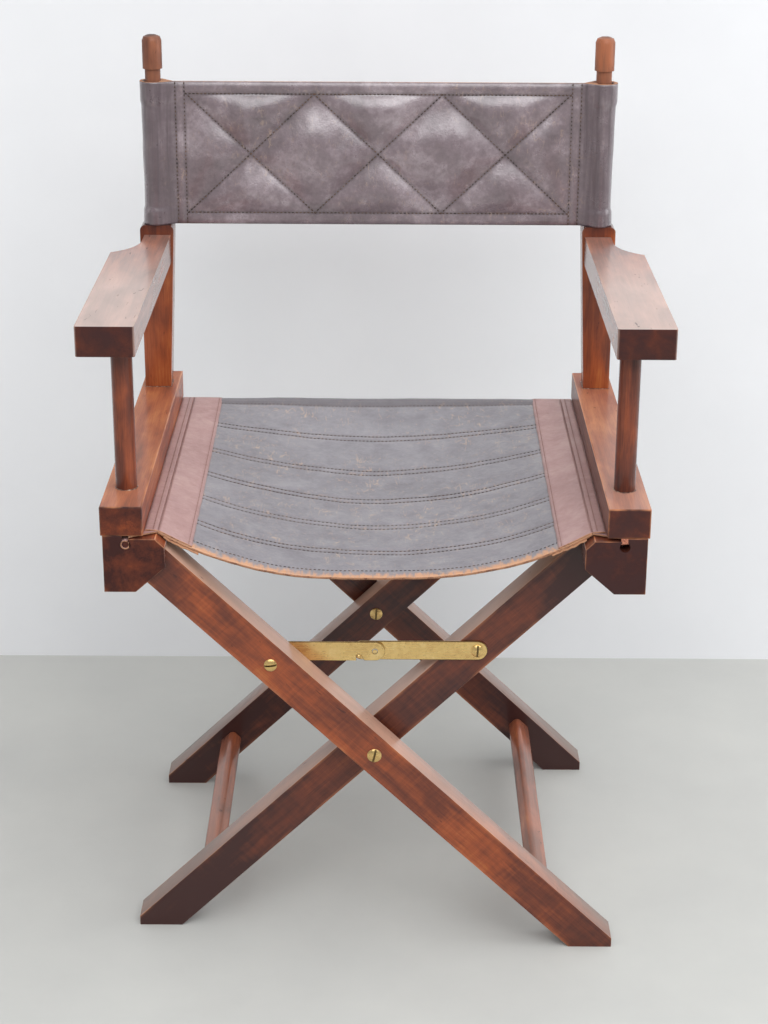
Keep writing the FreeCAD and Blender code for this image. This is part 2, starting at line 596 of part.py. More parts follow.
def peg(label, left, y, z):
    """A wooden peg along x, flush with the inner face at `left`."""
    item = doc.addObject("Part::Cylinder", label)
    item.setExpression("Radius", of_sheet("{peg} / 2"))
    item.setExpression("Height", of_sheet("{peg_length}"))
    place(item, left, y, z, (0, 1, 0), "90 deg")
    return item


dowel = rod_along_y("arm_dowel_right", "{arm_dowel}", of_sheet("{arm_dowel_length}"),
                    dowel_x, dowel_y, dowel_z)
pegs = group("tenon_pegs_right", [peg("base_peg", base_left, back_y, tenon_z),
                                  peg("arm_peg", arm_left, front_post_y, arm_peg_z)])

# Screws that hold the base rail on the lower rail, driven from below
screw = new_body("rail_screw")
screw_head_z = of_sheet("{rail_screw_sink} - {rail_screw}")
screw_end = of_sheet("{lower_height} + {rail_screw_deep} - 2 * {glue_gap}")
turn(screw, [
    ("0", screw_head_z),
    (of_sheet("{rail_screw_head} / 2"), screw_head_z),
    (of_sheet("{rail_screw_head} / 2"), of_sheet("{rail_screw_sink}")),
    (of_sheet("{rail_screw} / 2"), of_sheet("{rail_screw_sink}")),
    (of_sheet("{rail_screw} / 2"), screw_end),
    ("0", screw_end),
])
place(screw, screw_x, screw_front, lower_bottom)
rear_screw = doc.addObject("Part::Feature", "rear_rail_screw")
rear_screw.Shape = screw.Shape.copy()
place(rear_screw, screw_x, screw_rear, lower_bottom)
screws = group("rail_screws_right", [screw, rear_screw])

for item in (base, post, back, arm, rod, hinge, seat_stick, loop, sleeve, panel,
             seat_panel, seat_strip, dowel, pegs, screws):
    mirrored(item, item.Label.replace("right", "left"))


# Brass pivots: bolt head on the outer leg, barrel nut on the inner leg, spacer washer between them
def slotted(label, head, high, rest):
    """A turned screw along its own z axis: low head from 0 down to -high, slot across it, then `rest`."""
    body = new_body(label)
    rim = of_sheet(head + " / 2")
    crown = of_sheet(rim + " - {head_slope}")
    turn(body, [("0", "-" + high), (crown, "-" + high), (rim, "-Sheet.head_rim"), (rim, "0")] + rest)
    half = of_sheet("{slot_wide} / 2")
    pocket(body, "XY_Plane", "-" + high, of_sheet("2 * {slot_deep}"),
           polygons=[rectangle("-" + head, head, "-" + half, half)])
    return body


span = of_sheet("2 * {leg_thick} + {leg_gap} + 2 * {side_play}")
head_round = of_sheet("{bolt_head}")
head_high = of_sheet("{bolt_rise}")
shank_end = of_sheet(span + " - {barrel_length}")
thread_end = of_sheet(span + " - {bolt}")
bolt_rest = [
    (of_sheet("{bolt} / 2"), "0"),
    (of_sheet("{bolt} / 2"), of_sheet(shank_end + " - {side_play}")),
    (of_sheet("{bolt_thread} / 2"), of_sheet(shank_end + " - {side_play}")),
    (of_sheet("{bolt_thread} / 2"), thread_end),
    ("0", thread_end),
]
head_face = of_sheet("-" + outer_leg_y + " - {leg_thick} / 2 - {side_play}")
nut_face = of_sheet(head_face + " + " + span)
bolt = slotted("pivot_bolt", head_round, head_high, bolt_rest)
place(bolt, "0", head_face, "Sheet.pivot_height", (1, 0, 0), "-90 deg")
nut = slotted("pivot_nut", head_round, head_high, [
    (of_sheet("{bolt} / 2"), "0"),
    (of_sheet("{bolt} / 2"), of_sheet("{barrel_length}")),
    ("0", of_sheet("{barrel_length}")),
])
thread_deep = of_sheet("{barrel_length} - {bolt}")
pocket(nut, "XY_Plane", of_sheet("{barrel_length}"), of_sheet("2 * " + thread_deep),
       circles=[(("0", "0"), of_sheet("{bolt_thread} + 2 * {glue_gap}"))])
place(nut, "0", nut_face, "Sheet.pivot_height", (1, 0, 0), "90 deg")
washer = new_body("pivot_washer")
pad(washer, "XZ_Plane", "0", of_sheet("{leg_gap} - 2 * {side_play}"),
    circles=[(("0", "0"), of_sheet("{washer}"))])
pocket(washer, "XZ_Plane", "0", of_sheet("{leg_gap}"), circles=[(("0", "0"), bolt_hole)])
place(washer, "0", "-" + gap_y, "Sheet.pivot_height")
for label, item in (("pivot_bolts", bolt), ("pivot_nuts", nut), ("pivot_washers", washer)):
    group(label, [item, mirrored(item, label + "_rear", (0, 1, 0))])

# Folding stay in the gap between the front legs: two straps on a flush rivet, with a stop stud in a notch
strap_half = of_sheet("{strap_width} / 2")
strap_deep = of_sheet("{strap_thick}")
strap_round = of_sheet("{strap_width}")
left_strap_y = of_sheet("-" + gap_y + " - " + strap_offset)
right_strap_y = of_sheet("-" + gap_y + " + " + strap_offset)
rivet_hole = of_sheet("{stay_rivet} + 2 * {pin_play}")
screw_turn_hole = of_sheet("{stay_screw} + 2 * {pin_play}")
stud_x = of_sheet("-{stud_back}")
stud_z = of_sheet(stay_z + " - {stud_drop}")
notch_half = of_sheet("{stud} / 2 + {side_play}")


def strap(label, y, start, end, holes):
    """A flat strap along x with round ends and the given bores."""
    body = new_body(label)
    low = of_sheet(stay_z + " - " + strap_half)
    high = of_sheet(stay_z + " + " + strap_half)
    pad(body, "XZ_Plane", y, strap_deep, polygons=[rectangle(start, end, low, high)])
    for x in (start, end):
        pad(body, "XZ_Plane", y, strap_deep, circles=[((x, stay_z), strap_round)])
    pocket(body, "XZ_Plane", y, strap_deep, circles=holes)
    return body


left_strap = strap("stay_strap_left", left_strap_y, "-" + stay_half, "0",
                   [(("-" + stay_half, stay_z), screw_turn_hole), (("0", stay_z), of_sheet("{stay_rivet}"))])
notch_top = of_sheet(stud_z + " + " + notch_half)
notch_low = of_sheet(stay_z + " - {strap_width}")
notch_left = of_sheet(stud_x + " - " + notch_half)
notch_right = of_sheet(stud_x + " + " + notch_half)
notch = [
    (notch_left, notch_low),
    (of_sheet(notch_right + " + {notch_slant} * (" + notch_top + " - " + notch_low + ")"), notch_low),
    (notch_right, notch_top),
    (notch_left, notch_top),
]
pocket(left_strap, "XZ_Plane", left_strap_y, strap_deep, polygons=[notch])
tail = of_sheet("-{strap_tail} + " + strap_half)
right_strap = strap("stay_strap_right", right_strap_y, tail, stay_half,
                    [((stay_half, stay_z), of_sheet("{stay_screw}")), (("0", stay_z), rivet_hole),
                     ((stud_x, stud_z), of_sheet("{stud}"))])
rivet_long = of_sheet("2 * {strap_thick} + " + strap_step)
rod_along_y("stay_rivet", "{stay_rivet}", rivet_long, "0", "-" + gap_y, stay_z)
rod_along_y("stop_stud", "{stud}", rivet_long, stud_x, "-" + gap_y, stud_z)

stay_round = of_sheet("{stay_head}")
stay_high = of_sheet("{stay_rise}")
burr_start = of_sheet("{leg_thick} + {side_play} + " + strap_step + " + {strap_thick} + {pin_play}")
left_screw = slotted("stay_screw_left", stay_round, stay_high, [
    (of_sheet("{stay_screw} / 2"), "0"),
    (of_sheet("{stay_screw} / 2"), burr_start),
    (of_sheet("{stay_burr} / 2"), burr_start),
    (of_sheet("{stay_burr} / 2"), of_sheet(burr_start + " + {stay_burr_thick}")),
    ("0", of_sheet(burr_start + " + {stay_burr_thick}")),
])
place(left_screw, "-" + stay_half, head_face, stay_z, (1, 0, 0), "-90 deg")
right_screw = slotted("stay_screw_right", stay_round, stay_high, [
    (of_sheet("{stay_screw} / 2"), "0"),
    (of_sheet("{stay_screw} / 2"), of_sheet("{strap_thick}")),
    ("0", of_sheet("{strap_thick}")),
])
place(right_screw, stay_half, of_sheet(right_strap_y + " - {strap_thick} / 2"), stay_z, (1, 0, 0), "-90 deg")

doc.recompute()

NODES = [
    "outer_leg_front", "outer_leg_rear", "outer_stretcher",
    "inner_leg_front", "inner_leg_rear", "inner_stretcher",
    "pivot_bolts", "pivot_nuts", "pivot_washers",
    "stay_strap_left", "stay_strap_right", "stay_rivet", "stop_stud", "stay_screw_left", "stay_screw_right",
]
SIDE_NODES = [
    "lower_rail", "base_rail", "front_post", "back_post", "armrest", "back_rod", "hinge_rod", "seat_rod",
    "seat_loop", "seat_panel", "seat_strip", "back_panel", "back_sleeve", "arm_dowel", "tenon_pegs",
    "rail_screws",
]
for side in ("left", "right"):
    NODES += [name + "_" + side for name in SIDE_NODES]

for item in doc.Objects:
    if "Invalid" in item.State or "Error" in item.State:
        raise RuntimeError(item.Label + " failed: " + ", ".join(item.State))
by_label = {item.Label: item for item in doc.Objects}
shapes = {name: by_label[name].Shape for name in NODES}
for name, shape in shapes.items():
    if shape.isNull() or not shape.isValid() or not shape.Solids:
        raise RuntimeError(name + " has no valid solid")

os.makedirs("parts", exist_ok=True)
for name, shape in shapes.items():
    shape.exportStep("parts/" + name + ".step")
print(len(shapes), "nodes written")
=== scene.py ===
import itertools
import json
import math

import bmesh
import bpy
import numpy as np
from mathutils import Matrix, Vector, noise


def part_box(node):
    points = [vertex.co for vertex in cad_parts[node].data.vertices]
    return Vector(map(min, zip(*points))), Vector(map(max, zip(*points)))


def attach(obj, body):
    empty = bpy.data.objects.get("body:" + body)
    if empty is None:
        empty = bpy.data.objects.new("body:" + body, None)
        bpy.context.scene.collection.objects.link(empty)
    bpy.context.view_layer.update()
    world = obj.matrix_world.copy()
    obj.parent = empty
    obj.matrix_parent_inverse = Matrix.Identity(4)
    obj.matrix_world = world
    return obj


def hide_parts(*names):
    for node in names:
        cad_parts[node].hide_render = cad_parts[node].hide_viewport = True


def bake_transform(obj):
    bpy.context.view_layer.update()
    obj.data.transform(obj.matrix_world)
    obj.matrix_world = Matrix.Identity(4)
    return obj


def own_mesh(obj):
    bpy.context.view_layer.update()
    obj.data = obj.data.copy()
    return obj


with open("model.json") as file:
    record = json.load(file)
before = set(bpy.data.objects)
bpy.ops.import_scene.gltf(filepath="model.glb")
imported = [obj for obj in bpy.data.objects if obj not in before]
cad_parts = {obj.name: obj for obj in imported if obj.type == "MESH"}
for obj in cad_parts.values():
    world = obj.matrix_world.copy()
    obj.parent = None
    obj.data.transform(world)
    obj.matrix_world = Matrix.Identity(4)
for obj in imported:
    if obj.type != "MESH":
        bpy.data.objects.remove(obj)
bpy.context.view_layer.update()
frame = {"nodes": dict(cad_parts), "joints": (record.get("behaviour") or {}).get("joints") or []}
scene = bpy.context.scene


# Crossed legs: four straight bars of stained hardwood, two to each frame, varnished and worn.
# Their arrises are rounded by use, the figure runs across the grain in ripples, and the stain is
# darker towards the ends.
KINDS = {"SHADER": "ShaderNode", "GEOMETRY": "GeometryNode"}


def node(tree, kind, inputs=None, **settings):
    """A node of a shader or geometry tree; `kind` may leave out the tree's own prefix. An input is a value,
    an output, a node whose first output is meant, or a list of nodes."""
    item = tree.nodes.new(kind if "Node" in kind else KINDS[tree.type] + kind)
    for name, value in settings.items():
        setattr(item, name, value)
    for name, given in (inputs or {}).items():
        for value in given if isinstance(given, list) else [given]:
            if isinstance(value, bpy.types.Node):
                value = value.outputs[0]
            if isinstance(value, bpy.types.NodeSocket):
                tree.links.new(value, item.inputs[name])
            else:
                item.inputs[name].default_value = value
    return item


def ramp(value, stops):
    """A colour ramp through (place, colour) stops."""
    item = node(value.id_data, "ValToRGB", {"Fac": value})
    while len(item.color_ramp.elements) < len(stops):
        item.color_ramp.elements.new(0.5)
    for element, (place, colour) in zip(item.color_ramp.elements, stops):
        element.position = place
        element.color = (*colour, 1.0)
    return item.outputs["Color"]


def mix(share, first, second):
    """Two colours, outputs or plain, mixed by a share."""
    tree = (first if isinstance(share, float) else share).id_data
    first, second = ((*colour, 1.0) if isinstance(colour, tuple) else colour for colour in (first, second))
    return node(tree, "Mix", {0: share, 6: first, 7: second}, data_type="RGBA").outputs[2]


def between(value, low, high, start=0.0, end=1.0):
    """A value brought from the span low..high to start..end, and held there outside it."""
    return node(value.id_data, "MapRange", {
        "Value": value, "From Min": low, "From Max": high, "To Min": start, "To Max": end}).outputs["Result"]


def swing(value, by):
    """The middle part of a noise as a change of so much down or up."""
    return between(value, 0.3, 0.7, -by, by)


def sum_of(first, second, how="ADD"):
    """Two values added, or put together in another way."""
    return node(first.id_data, "Math", {0: first, 1: second}, operation=how).outputs[0]


def times(first, second):
    """Two values multiplied."""
    return sum_of(first, second, "MULTIPLY")


def amount(value):
    """A value without its sign."""
    return sum_of(value, 0.0, "ABSOLUTE")


def speckle(place, scale, detail=3.0, rough=0.55, bend=0.0, start=(0.0, 0.0, 0.0)):
    """Noise between 0 and 1, stretched if there is a scale for each axis."""
    if isinstance(scale, tuple):
        place = node(place.id_data, "Mapping", {"Vector": place, "Scale": scale, "Location": start})
        place, scale = place.outputs["Vector"], 1.0
    return node(place.id_data, "TexNoise", {"Vector": place, "Scale": scale, "Detail": detail,
                                            "Roughness": rough, "Distortion": bend}).outputs["Fac"]


def axes(vector):
    """The three numbers of a place or a direction."""
    return node(vector.id_data, "SeparateXYZ", {"Vector": vector}).outputs


def new_material(name, roughness, **constants):
    """A material and its principled shader, with plain numbers set on the shader itself."""
    material = bpy.data.materials.new(name)
    material.use_nodes = True
    shader = material.node_tree.nodes["Principled BSDF"]
    shader.inputs["Roughness"].default_value = roughness
    for key, value in constants.items():
        shader.inputs[key.replace("_", " ")].default_value = value
    return material, shader


def place_on(shader, kind="Object"):
    """Where each spot of the surface lies, or the way it looks."""
    return node(shader.id_data, "TexCoord").outputs[kind]


def kept(shader, name, kind):
    """A value that is kept for each point of the mesh."""
    return node(shader.id_data, "Attribute", attribute_name=name).outputs[kind]


def feed(shader, **outputs):
    """Joins outputs to inputs of a shader."""
    for key, output in outputs.items():
        shader.id_data.links.new(output, shader.inputs[key.replace("_", " ")])


def relief(height, distance, strength):
    """Fine relief on a surface, from a height in metres."""
    return node(height.id_data, "Bump", {
        "Height": height, "Distance": distance, "Strength": strength}).outputs["Normal"]


WOOD_DARK = (0.044, 0.015, 0.013)
WOOD_BROWN = (0.142, 0.036, 0.018)
WOOD_RED = (0.305, 0.070, 0.023)
WOOD_GOLD = (0.510, 0.170, 0.048)
WOOD_BARE = (0.600, 0.240, 0.105)
# pale colours for faces that look up: rubbed or dusty wood with a painted sheen of the light from above
WOOD_RUBBED_SHEEN = (0.640, 0.420, 0.320)
WOOD_DUSTY_SHEEN = (0.620, 0.500, 0.440)
WOOD_END = (0.052, 0.023, 0.022)


def stained_wood(name, wear=0.0, lift=0.0, fade=0.985, curl=0.0, dust_and_sheen=0.0, pale=WOOD_RUBBED_SHEEN, above=0.45,
                 ends=0.7, left_shade=0.0, varnish=1.0):
    """Stained, varnished hardwood. `wear` is bare wood, `lift` a lighter stain, `fade` where the dark ends
    begin, `curl` the figure across the grain, `dust_and_sheen` how far the faces that look up by more than
    `above` turn to a `pale` colour, less towards the far end of the grain, partly dust and the rub of hands
    and partly a painted sheen of the light from above, `ends` how dark the end grain is, `left_shade` how
    much painted shade falls on the side that looks left, and `varnish` how much varnish is left."""
    material, shader = new_material(name, 0.5, Specular_IOR_Level=0.05, Coat_IOR=1.42, Coat_Roughness=0.18,
                                    Sheen_Weight=0.04, Sheen_Roughness=0.3)
    grain = kept(shader, "grain", "Vector")
    share = axes(kept(shader, "section", "Vector"))
    looks = axes(place_on(shader, "Normal"))
    end, across, through = (amount(share[axis]) for axis in "XYZ")
    cut = between(end, 0.996, 0.9995)
    blotch = speckle(grain, (11.0, 38.0, 38.0), 3.0, 0.55, 0.4)
    streak = speckle(grain, (7.0, 230.0, 230.0), 4.0, 0.62, 0.3)
    fibre = speckle(grain, (28.0, 1200.0, 1200.0), 3.0, 0.65)
    pores = speckle(grain, (70.0, 2100.0, 2100.0), 2.0, 0.5)
    tone = sum_of(sum_of(swing(blotch, 0.20), swing(streak, 0.07)), swing(fibre, 0.08))
    if curl:
        ripple = speckle(grain, (190.0, 24.0, 24.0), 2.0, 0.5, 0.8)
        tone = sum_of(tone, swing(ripple, curl))
    tone = sum_of(tone, between(end, fade, 1.0, 0.50 + lift, 0.22 + lift))
    colour = ramp(tone, [(0.08, WOOD_DARK), (0.40, WOOD_BROWN), (0.64, WOOD_RED), (0.95, WOOD_GOLD)])
    colour = mix(between(pores, 0.58, 0.70, 0.0, 0.45), colour, WOOD_DARK)
    arris = times(between(across, 0.84, 1.0), between(through, 0.84, 1.0))
    rubbed = times(arris, between(blotch, 0.45, 0.62))
    colour = mix(times(rubbed, 0.35), colour, WOOD_BARE)
    if wear:
        colour = mix(between(blotch, 0.34, 0.58, 0.0, wear), colour, WOOD_BARE)
    # faces that look up go pale: partly dust and the rub of hands, partly a painted sheen of the light from
    # above
    if dust_and_sheen:
        worn = times(between(looks["Z"], above, 0.65), between(blotch, 0.3, 0.7, dust_and_sheen * 0.8, dust_and_sheen))
        worn = times(worn, between(share["X"], -0.2, 0.75, 1.0, 0.35))
        worn = times(worn, between(cut, 0.0, 1.0, 1.0, 0.0))
        colour = mix(worn, colour, pale)
    nicks = speckle(grain, (60.0, 210.0, 210.0), 2.0, 0.5, 0.8, (3.0, 5.0, 7.0))
    colour = mix(between(nicks, 0.70, 0.76, 0.0, 0.7), colour, WOOD_DARK)
    # painted shade, in the colour of end grain, on the side that looks left
    if left_shade:
        colour = mix(between(looks["X"], -0.9, -0.6, left_shade, 0.0), colour, WOOD_END)
    dark_end = times(cut, between(blotch, 0.35, 0.65, ends * 1.15, ends * 0.65))
    feed(shader, Base_Color=mix(dark_end, colour, WOOD_END), Roughness=between(streak, 0.3, 0.7, 0.56, 0.44),
         Coat_Weight=between(cut, 0.0, 1.0, varnish, 0.25),
         Normal=relief(sum_of(fibre, pores), 0.0001, 0.15))
    return material


# The faces of the legs that look up turn pale, partly dust and partly a painted sheen of the light from above.
# The rear legs are stained deeper, and darkened further as painted shade under the seat.
leg_wood = stained_wood("leg_wood", fade=0.62, curl=0.05, lift=0.03, dust_and_sheen=0.76)
shaded_rear_leg_wood = stained_wood("inner_leg_wood", fade=0.50, curl=0.05, lift=-0.28, dust_and_sheen=0.74)
worn_wood = stained_wood("worn_arris", wear=0.75)

TO_RIGHT, TO_REAR, UP = (1, 0, 0), (0, 1, 0), (0, 0, 1)
MERGE = 2e-5
FLAT = math.radians(1.5)
ARRIS = math.radians(28)
SHORT_EDGE = 0.006
LEG_EASE = 0.0014
NEXT_BOARD = np.array([0.37, 0.11, 0.07])
boards = itertools.count(1)


def new_object(name, data, *materials):
    """An object at the origin with its materials in order."""
    item = bpy.data.objects.new(name, data)
    scene.collection.objects.link(item)
    for material in materials:
        data.materials.append(material)
    return item


def plain_mesh(item):
    """Turns an object's modifiers into its own mesh."""
    bpy.context.view_layer.update()
    graph = bpy.context.evaluated_depsgraph_get()
    mesh = bpy.data.meshes.new_from_object(item.evaluated_get(graph), preserve_all_data_layers=True,
                                           depsgraph=graph)
    item.modifiers.clear()
    item.data = mesh
    return item


def store(mesh, name, values, kind="FLOAT_VECTOR"):
    """Keeps one value for each point of a mesh."""
    layer = mesh.attributes.get(name) or mesh.attributes.new(name, kind, "POINT")
    key = "vector" if kind == "FLOAT_VECTOR" else "value"
    layer.data.foreach_set(key, np.asarray(values, np.float32).ravel())


def places_of(mesh):
    """The points of a mesh as rows of x, y, z."""
    flat = np.empty(len(mesh.vertices) * 3)
    mesh.vertices.foreach_get("co", flat)
    return flat.reshape(-1, 3)


def fitted(item, body, slot, *parts):
    """Fixes a piece to a body, in place of CAD nodes; what it is made of is given but not used."""
    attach(item, body)
    if parts:
        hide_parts(*parts)
    return item


def eased_copy(part, name, ease, shortest, *materials):
    """A copy of a CAD node with its long arrises rounded; the rounding takes the last material."""
    shape = bmesh.new()
    shape.from_mesh(frame["nodes"][part].data)
    bmesh.ops.remove_doubles(shape, verts=shape.verts, dist=MERGE)
    bmesh.ops.dissolve_limit(shape, angle_limit=FLAT, verts=shape.verts, edges=shape.edges)
    weight = shape.edges.layers.float.new("bevel_weight_edge")
    for face in shape.faces:
        face.smooth = any(edge.is_manifold and FLAT < edge.calc_face_angle() < ARRIS for edge in face.edges)
        face.material_index = 0
    for edge in shape.edges:
        if not edge.is_manifold or edge.calc_face_angle() < ARRIS:
            continue
        if edge.is_convex and edge.calc_length() > shortest:
            edge[weight] = 1.0
        else:
            edge.smooth = False
    mesh = bpy.data.meshes.new(name)
    shape.to_mesh(mesh)
    shape.free()
    item = new_object(name, mesh, *materials)
    rounding = item.modifiers.new("arris", "BEVEL")
    rounding.width = ease
    rounding.segments = 3
    rounding.limit_method = "WEIGHT"
    rounding.material = len(materials) - 1
    return plain_mesh(item)


def wooden(part, body, run, ease, material):
    """One wooden piece: a CAD node with eased arrises and its grain laid along `run`."""
    item = eased_copy(part, "wood_" + part, ease, SHORT_EDGE, material, worn_wood)
    run = Vector(run).normalized()
    side = Vector(TO_REAR if abs(run.y) < 0.9 else TO_RIGHT)
    side = (side - run * side.dot(run)).normalized()
    local = places_of(item.data) @ np.array([run, side, run.cross(side)]).T
    low, high = local.min(0), local.max(0)
    store(item.data, "grain", local - low + NEXT_BOARD * next(boards))
    store(item.data, "section", (2 * local - low - high) / (high - low))
    return fitted(item, body, "wood", part)


hinges = {joint["name"]: Vector(joint["pos_m"]) for joint in frame["joints"]}
pivot = hinges["inner_fold"]
for end, outer_wood in (("front", leg_wood), ("rear", shaded_rear_leg_wood)):
    wooden("outer_leg_" + end, "outer_frame", pivot - hinges["fold"], LEG_EASE, outer_wood)
    wooden("inner_leg_" + end, "inner_frame", pivot - hinges["right_rail_turn"], LEG_EASE, shaded_rear_leg_wood)

# Stretchers: a rounded bar between the front and rear leg of each frame, let in with plain tenons.
# Hands and dust reach them less than the legs, so their tops turn less pale and take less painted sheen.
STRETCHER_EASE = 0.0008
dull_wood = stained_wood("dull_wood", lift=0.04, dust_and_sheen=0.20)
for frame_name in ("outer", "inner"):
    wooden(frame_name + "_stretcher", frame_name + "_frame", TO_REAR, STRETCHER_EASE, dull_wood)

# Side frames: a bevelled lower rail, a square base rail, a round front post, a flat back post, a broad
# armrest and a turned back rod on each side, all of the same stained wood, glued, pegged and screwed.
HANDS = {"left": -1, "right": 1}
rail_wood = stained_wood("rail_wood", lift=0.15, dust_and_sheen=0.18, ends=0.12, varnish=0.4)
# the right base rail: the side that looks left takes painted shade, as the light comes from the right
rail_wood_shaded_left = stained_wood("rail_wood_shaded_left", lift=0.16, dust_and_sheen=0.30, pale=WOOD_DUSTY_SHEEN, ends=0.80,
                              left_shade=0.65, varnish=0.4)
lower_wood = stained_wood("lower_rail_wood", lift=-0.02, ends=0.08)
dark_lower_wood = stained_wood("dark_lower_rail_wood", lift=-0.12, ends=0.75)
post_wood = stained_wood("post_wood", lift=-0.08, fade=0.55)
board_wood = stained_wood("back_post_wood", lift=0.04, fade=0.80)
# the top and sides of each arm go pale: dust and rubbing, and a painted sheen of the light from above and the
# wall behind
arm_wood = stained_wood("arm_wood", dust_and_sheen=0.62, pale=WOOD_DUSTY_SHEEN, above=-0.55)
rod_wood = stained_wood("rubbed_rod_wood", wear=0.2, lift=-0.13, dust_and_sheen=0.22, above=-9.0, ends=0.1,
                        varnish=0.4)
SIDE_PIECES = [
    ("lower_rail", TO_REAR, 0.0012, lower_wood, dark_lower_wood),
    ("base_rail", TO_REAR, 0.0014, rail_wood, rail_wood_shaded_left),
    ("front_post", UP, 0.0008, post_wood),
    ("back_post", UP, 0.0014, board_wood),
    ("armrest", TO_REAR, 0.0026, arm_wood),
    ("back_rod", UP, 0.0008, rod_wood),
    ("tenon_pegs", TO_RIGHT, 0.0003, rod_wood),
    ("arm_dowel", TO_REAR, 0.0006, rod_wood),
]
for part, run, ease, *woods in SIDE_PIECES:
    for side, wood in zip(HANDS, woods * 2):
        wooden(f"{part}_{side}", side + "_side", run, ease, wood)


# Glue: a thin line of dried glue and dirt round the foot of each post, squeezed out of the joint when
# the post was set in the base rail, and never wiped off.
def speckled(name, roughness, scale, detail, rough, stops, **constants):
    """A material coloured by one noise, with its shader and that noise."""
    material, shader = new_material(name, roughness, **constants)
    cloud = speckle(place_on(shader), scale, detail, rough)
    feed(shader, Base_Color=ramp(cloud, stops))
    return material, shader, cloud


def sheet_of(name, points, *materials, flip=False):
    """A smooth sheet of quads through a grid of points."""
    rows, columns = points.shape[:2]
    index = np.arange(rows * columns).reshape(rows, columns)
    faces = np.stack([index[:-1, :-1], index[:-1, 1:], index[1:, 1:], index[1:, :-1]], axis=-1).reshape(-1, 4)
    if flip:
        faces = faces[:, ::-1]
    mesh = bpy.data.meshes.new(name)
    mesh.from_pydata(points.reshape(-1, 3).tolist(), [], faces.tolist())
    mesh.polygons.foreach_set("use_smooth", [True] * len(mesh.polygons))
    return new_object(name, mesh, *materials)


def closed(mesh):
    """Joins the seams of a mesh, fills its open ends and turns its faces outward."""
    shape = bmesh.new()
    shape.from_mesh(mesh)
    bmesh.ops.remove_doubles(shape, verts=shape.verts, dist=MERGE)
    rims = [edge for edge in shape.edges if edge.is_boundary]
    for face in bmesh.ops.holes_fill(shape, edges=rims)["faces"]:
        face.material_index = len(mesh.materials) - 1
        face.smooth = False
    bmesh.ops.triangulate(shape, faces=[face for face in shape.faces if len(face.verts) > 4])
    bmesh.ops.recalc_face_normals(shape, faces=shape.faces)
    shape.to_mesh(mesh)
    shape.free()


glue = speckled("dried_glue", 0.45, 260.0, 3.0, 0.6, [
    (0.42, (0.050, 0.020, 0.014)), (0.56, (0.20, 0.10, 0.06)), (0.68, (0.48, 0.36, 0.28))])[0]
GLUE_BEAD, GLUE_STEP, GLUE_SIDES = 0.0009, 0.0015, 7
GLUE_LUMPS = 330
POST_STEPS = 48
FOOT_SLICE = 0.002


def glue_line(name, body, corners, height):
    """An uneven bead of glue along a closed outline of (x, y) places."""
    path = []
    for start, end in zip(corners, corners[1:] + corners[:1]):
        count = max(1, int(math.dist(start, end) / GLUE_STEP))
        path += [np.add(start, np.subtract(end, start) * i / count) for i in range(count)]
    middle = np.mean(path, axis=0)
    turns = np.linspace(0, 2 * math.pi, GLUE_SIDES)
    rows = []
    for x, y in path + path[:1]:
        away = np.array([x, y]) - middle
        away /= np.linalg.norm(away)
        bead = GLUE_BEAD * (1 + 0.7 * noise.noise((x * GLUE_LUMPS, y * GLUE_LUMPS, height)))
        rows.append([(x + away[0] * bead * math.cos(turn), y + away[1] * bead * math.cos(turn),
                      height + 0.7 * bead * math.sin(turn)) for turn in turns])
    item = sheet_of(name, np.array(rows), glue)
    closed(item.data)
    fitted(item, body, "wood")


for side in HANDS:
    rail_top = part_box("base_rail_" + side)[1][2]
    (low_x, low_y, _), (high_x, high_y, _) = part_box("front_post_" + side)
    radius = (high_x - low_x) / 2
    ring = [((low_x + high_x) / 2 + radius * math.cos(turn), (low_y + high_y) / 2 + radius * math.sin(turn))
            for turn in np.linspace(0, 2 * math.pi, POST_STEPS, endpoint=False)]
    glue_line("front_post_glue_" + side, side + "_side", ring, rail_top)
    board = places_of(bpy.data.objects["wood_back_post_" + side].data)
    foot = board[np.abs(board[:, 2] - rail_top) < FOOT_SLICE, :2]
    (low_x, low_y), (high_x, high_y) = foot.min(0), foot.max(0)
    corners = [(low_x, low_y), (high_x, low_y), (high_x, high_y), (low_x, high_y)]
    glue_line("back_post_glue_" + side, side + "_side", corners, rail_top)


# Hinge rods and rail screws: plain steel bar and countersunk screws inside the rails, dulled by age.
# The legs turn on the rods, and the screws hold each base rail on its lower rail.
def repaint(part, material):
    """Gives a CAD node that keeps its own shape its finish."""
    for slot in frame["nodes"][part].material_slots:
        slot.material = material


steel, steel_shader, rust = speckled("dull_steel", 0.4, 90.0, 3.0, 0.55, [
    (0.35, (0.16, 0.14, 0.12)), (0.65, (0.42, 0.41, 0.40))], Metallic=1.0)
feed(steel_shader, Roughness=between(rust, 0.3, 0.7, 0.5, 0.32))
for side in HANDS:
    repaint("hinge_rod_" + side, steel)
    repaint("rail_screws_" + side, steel)


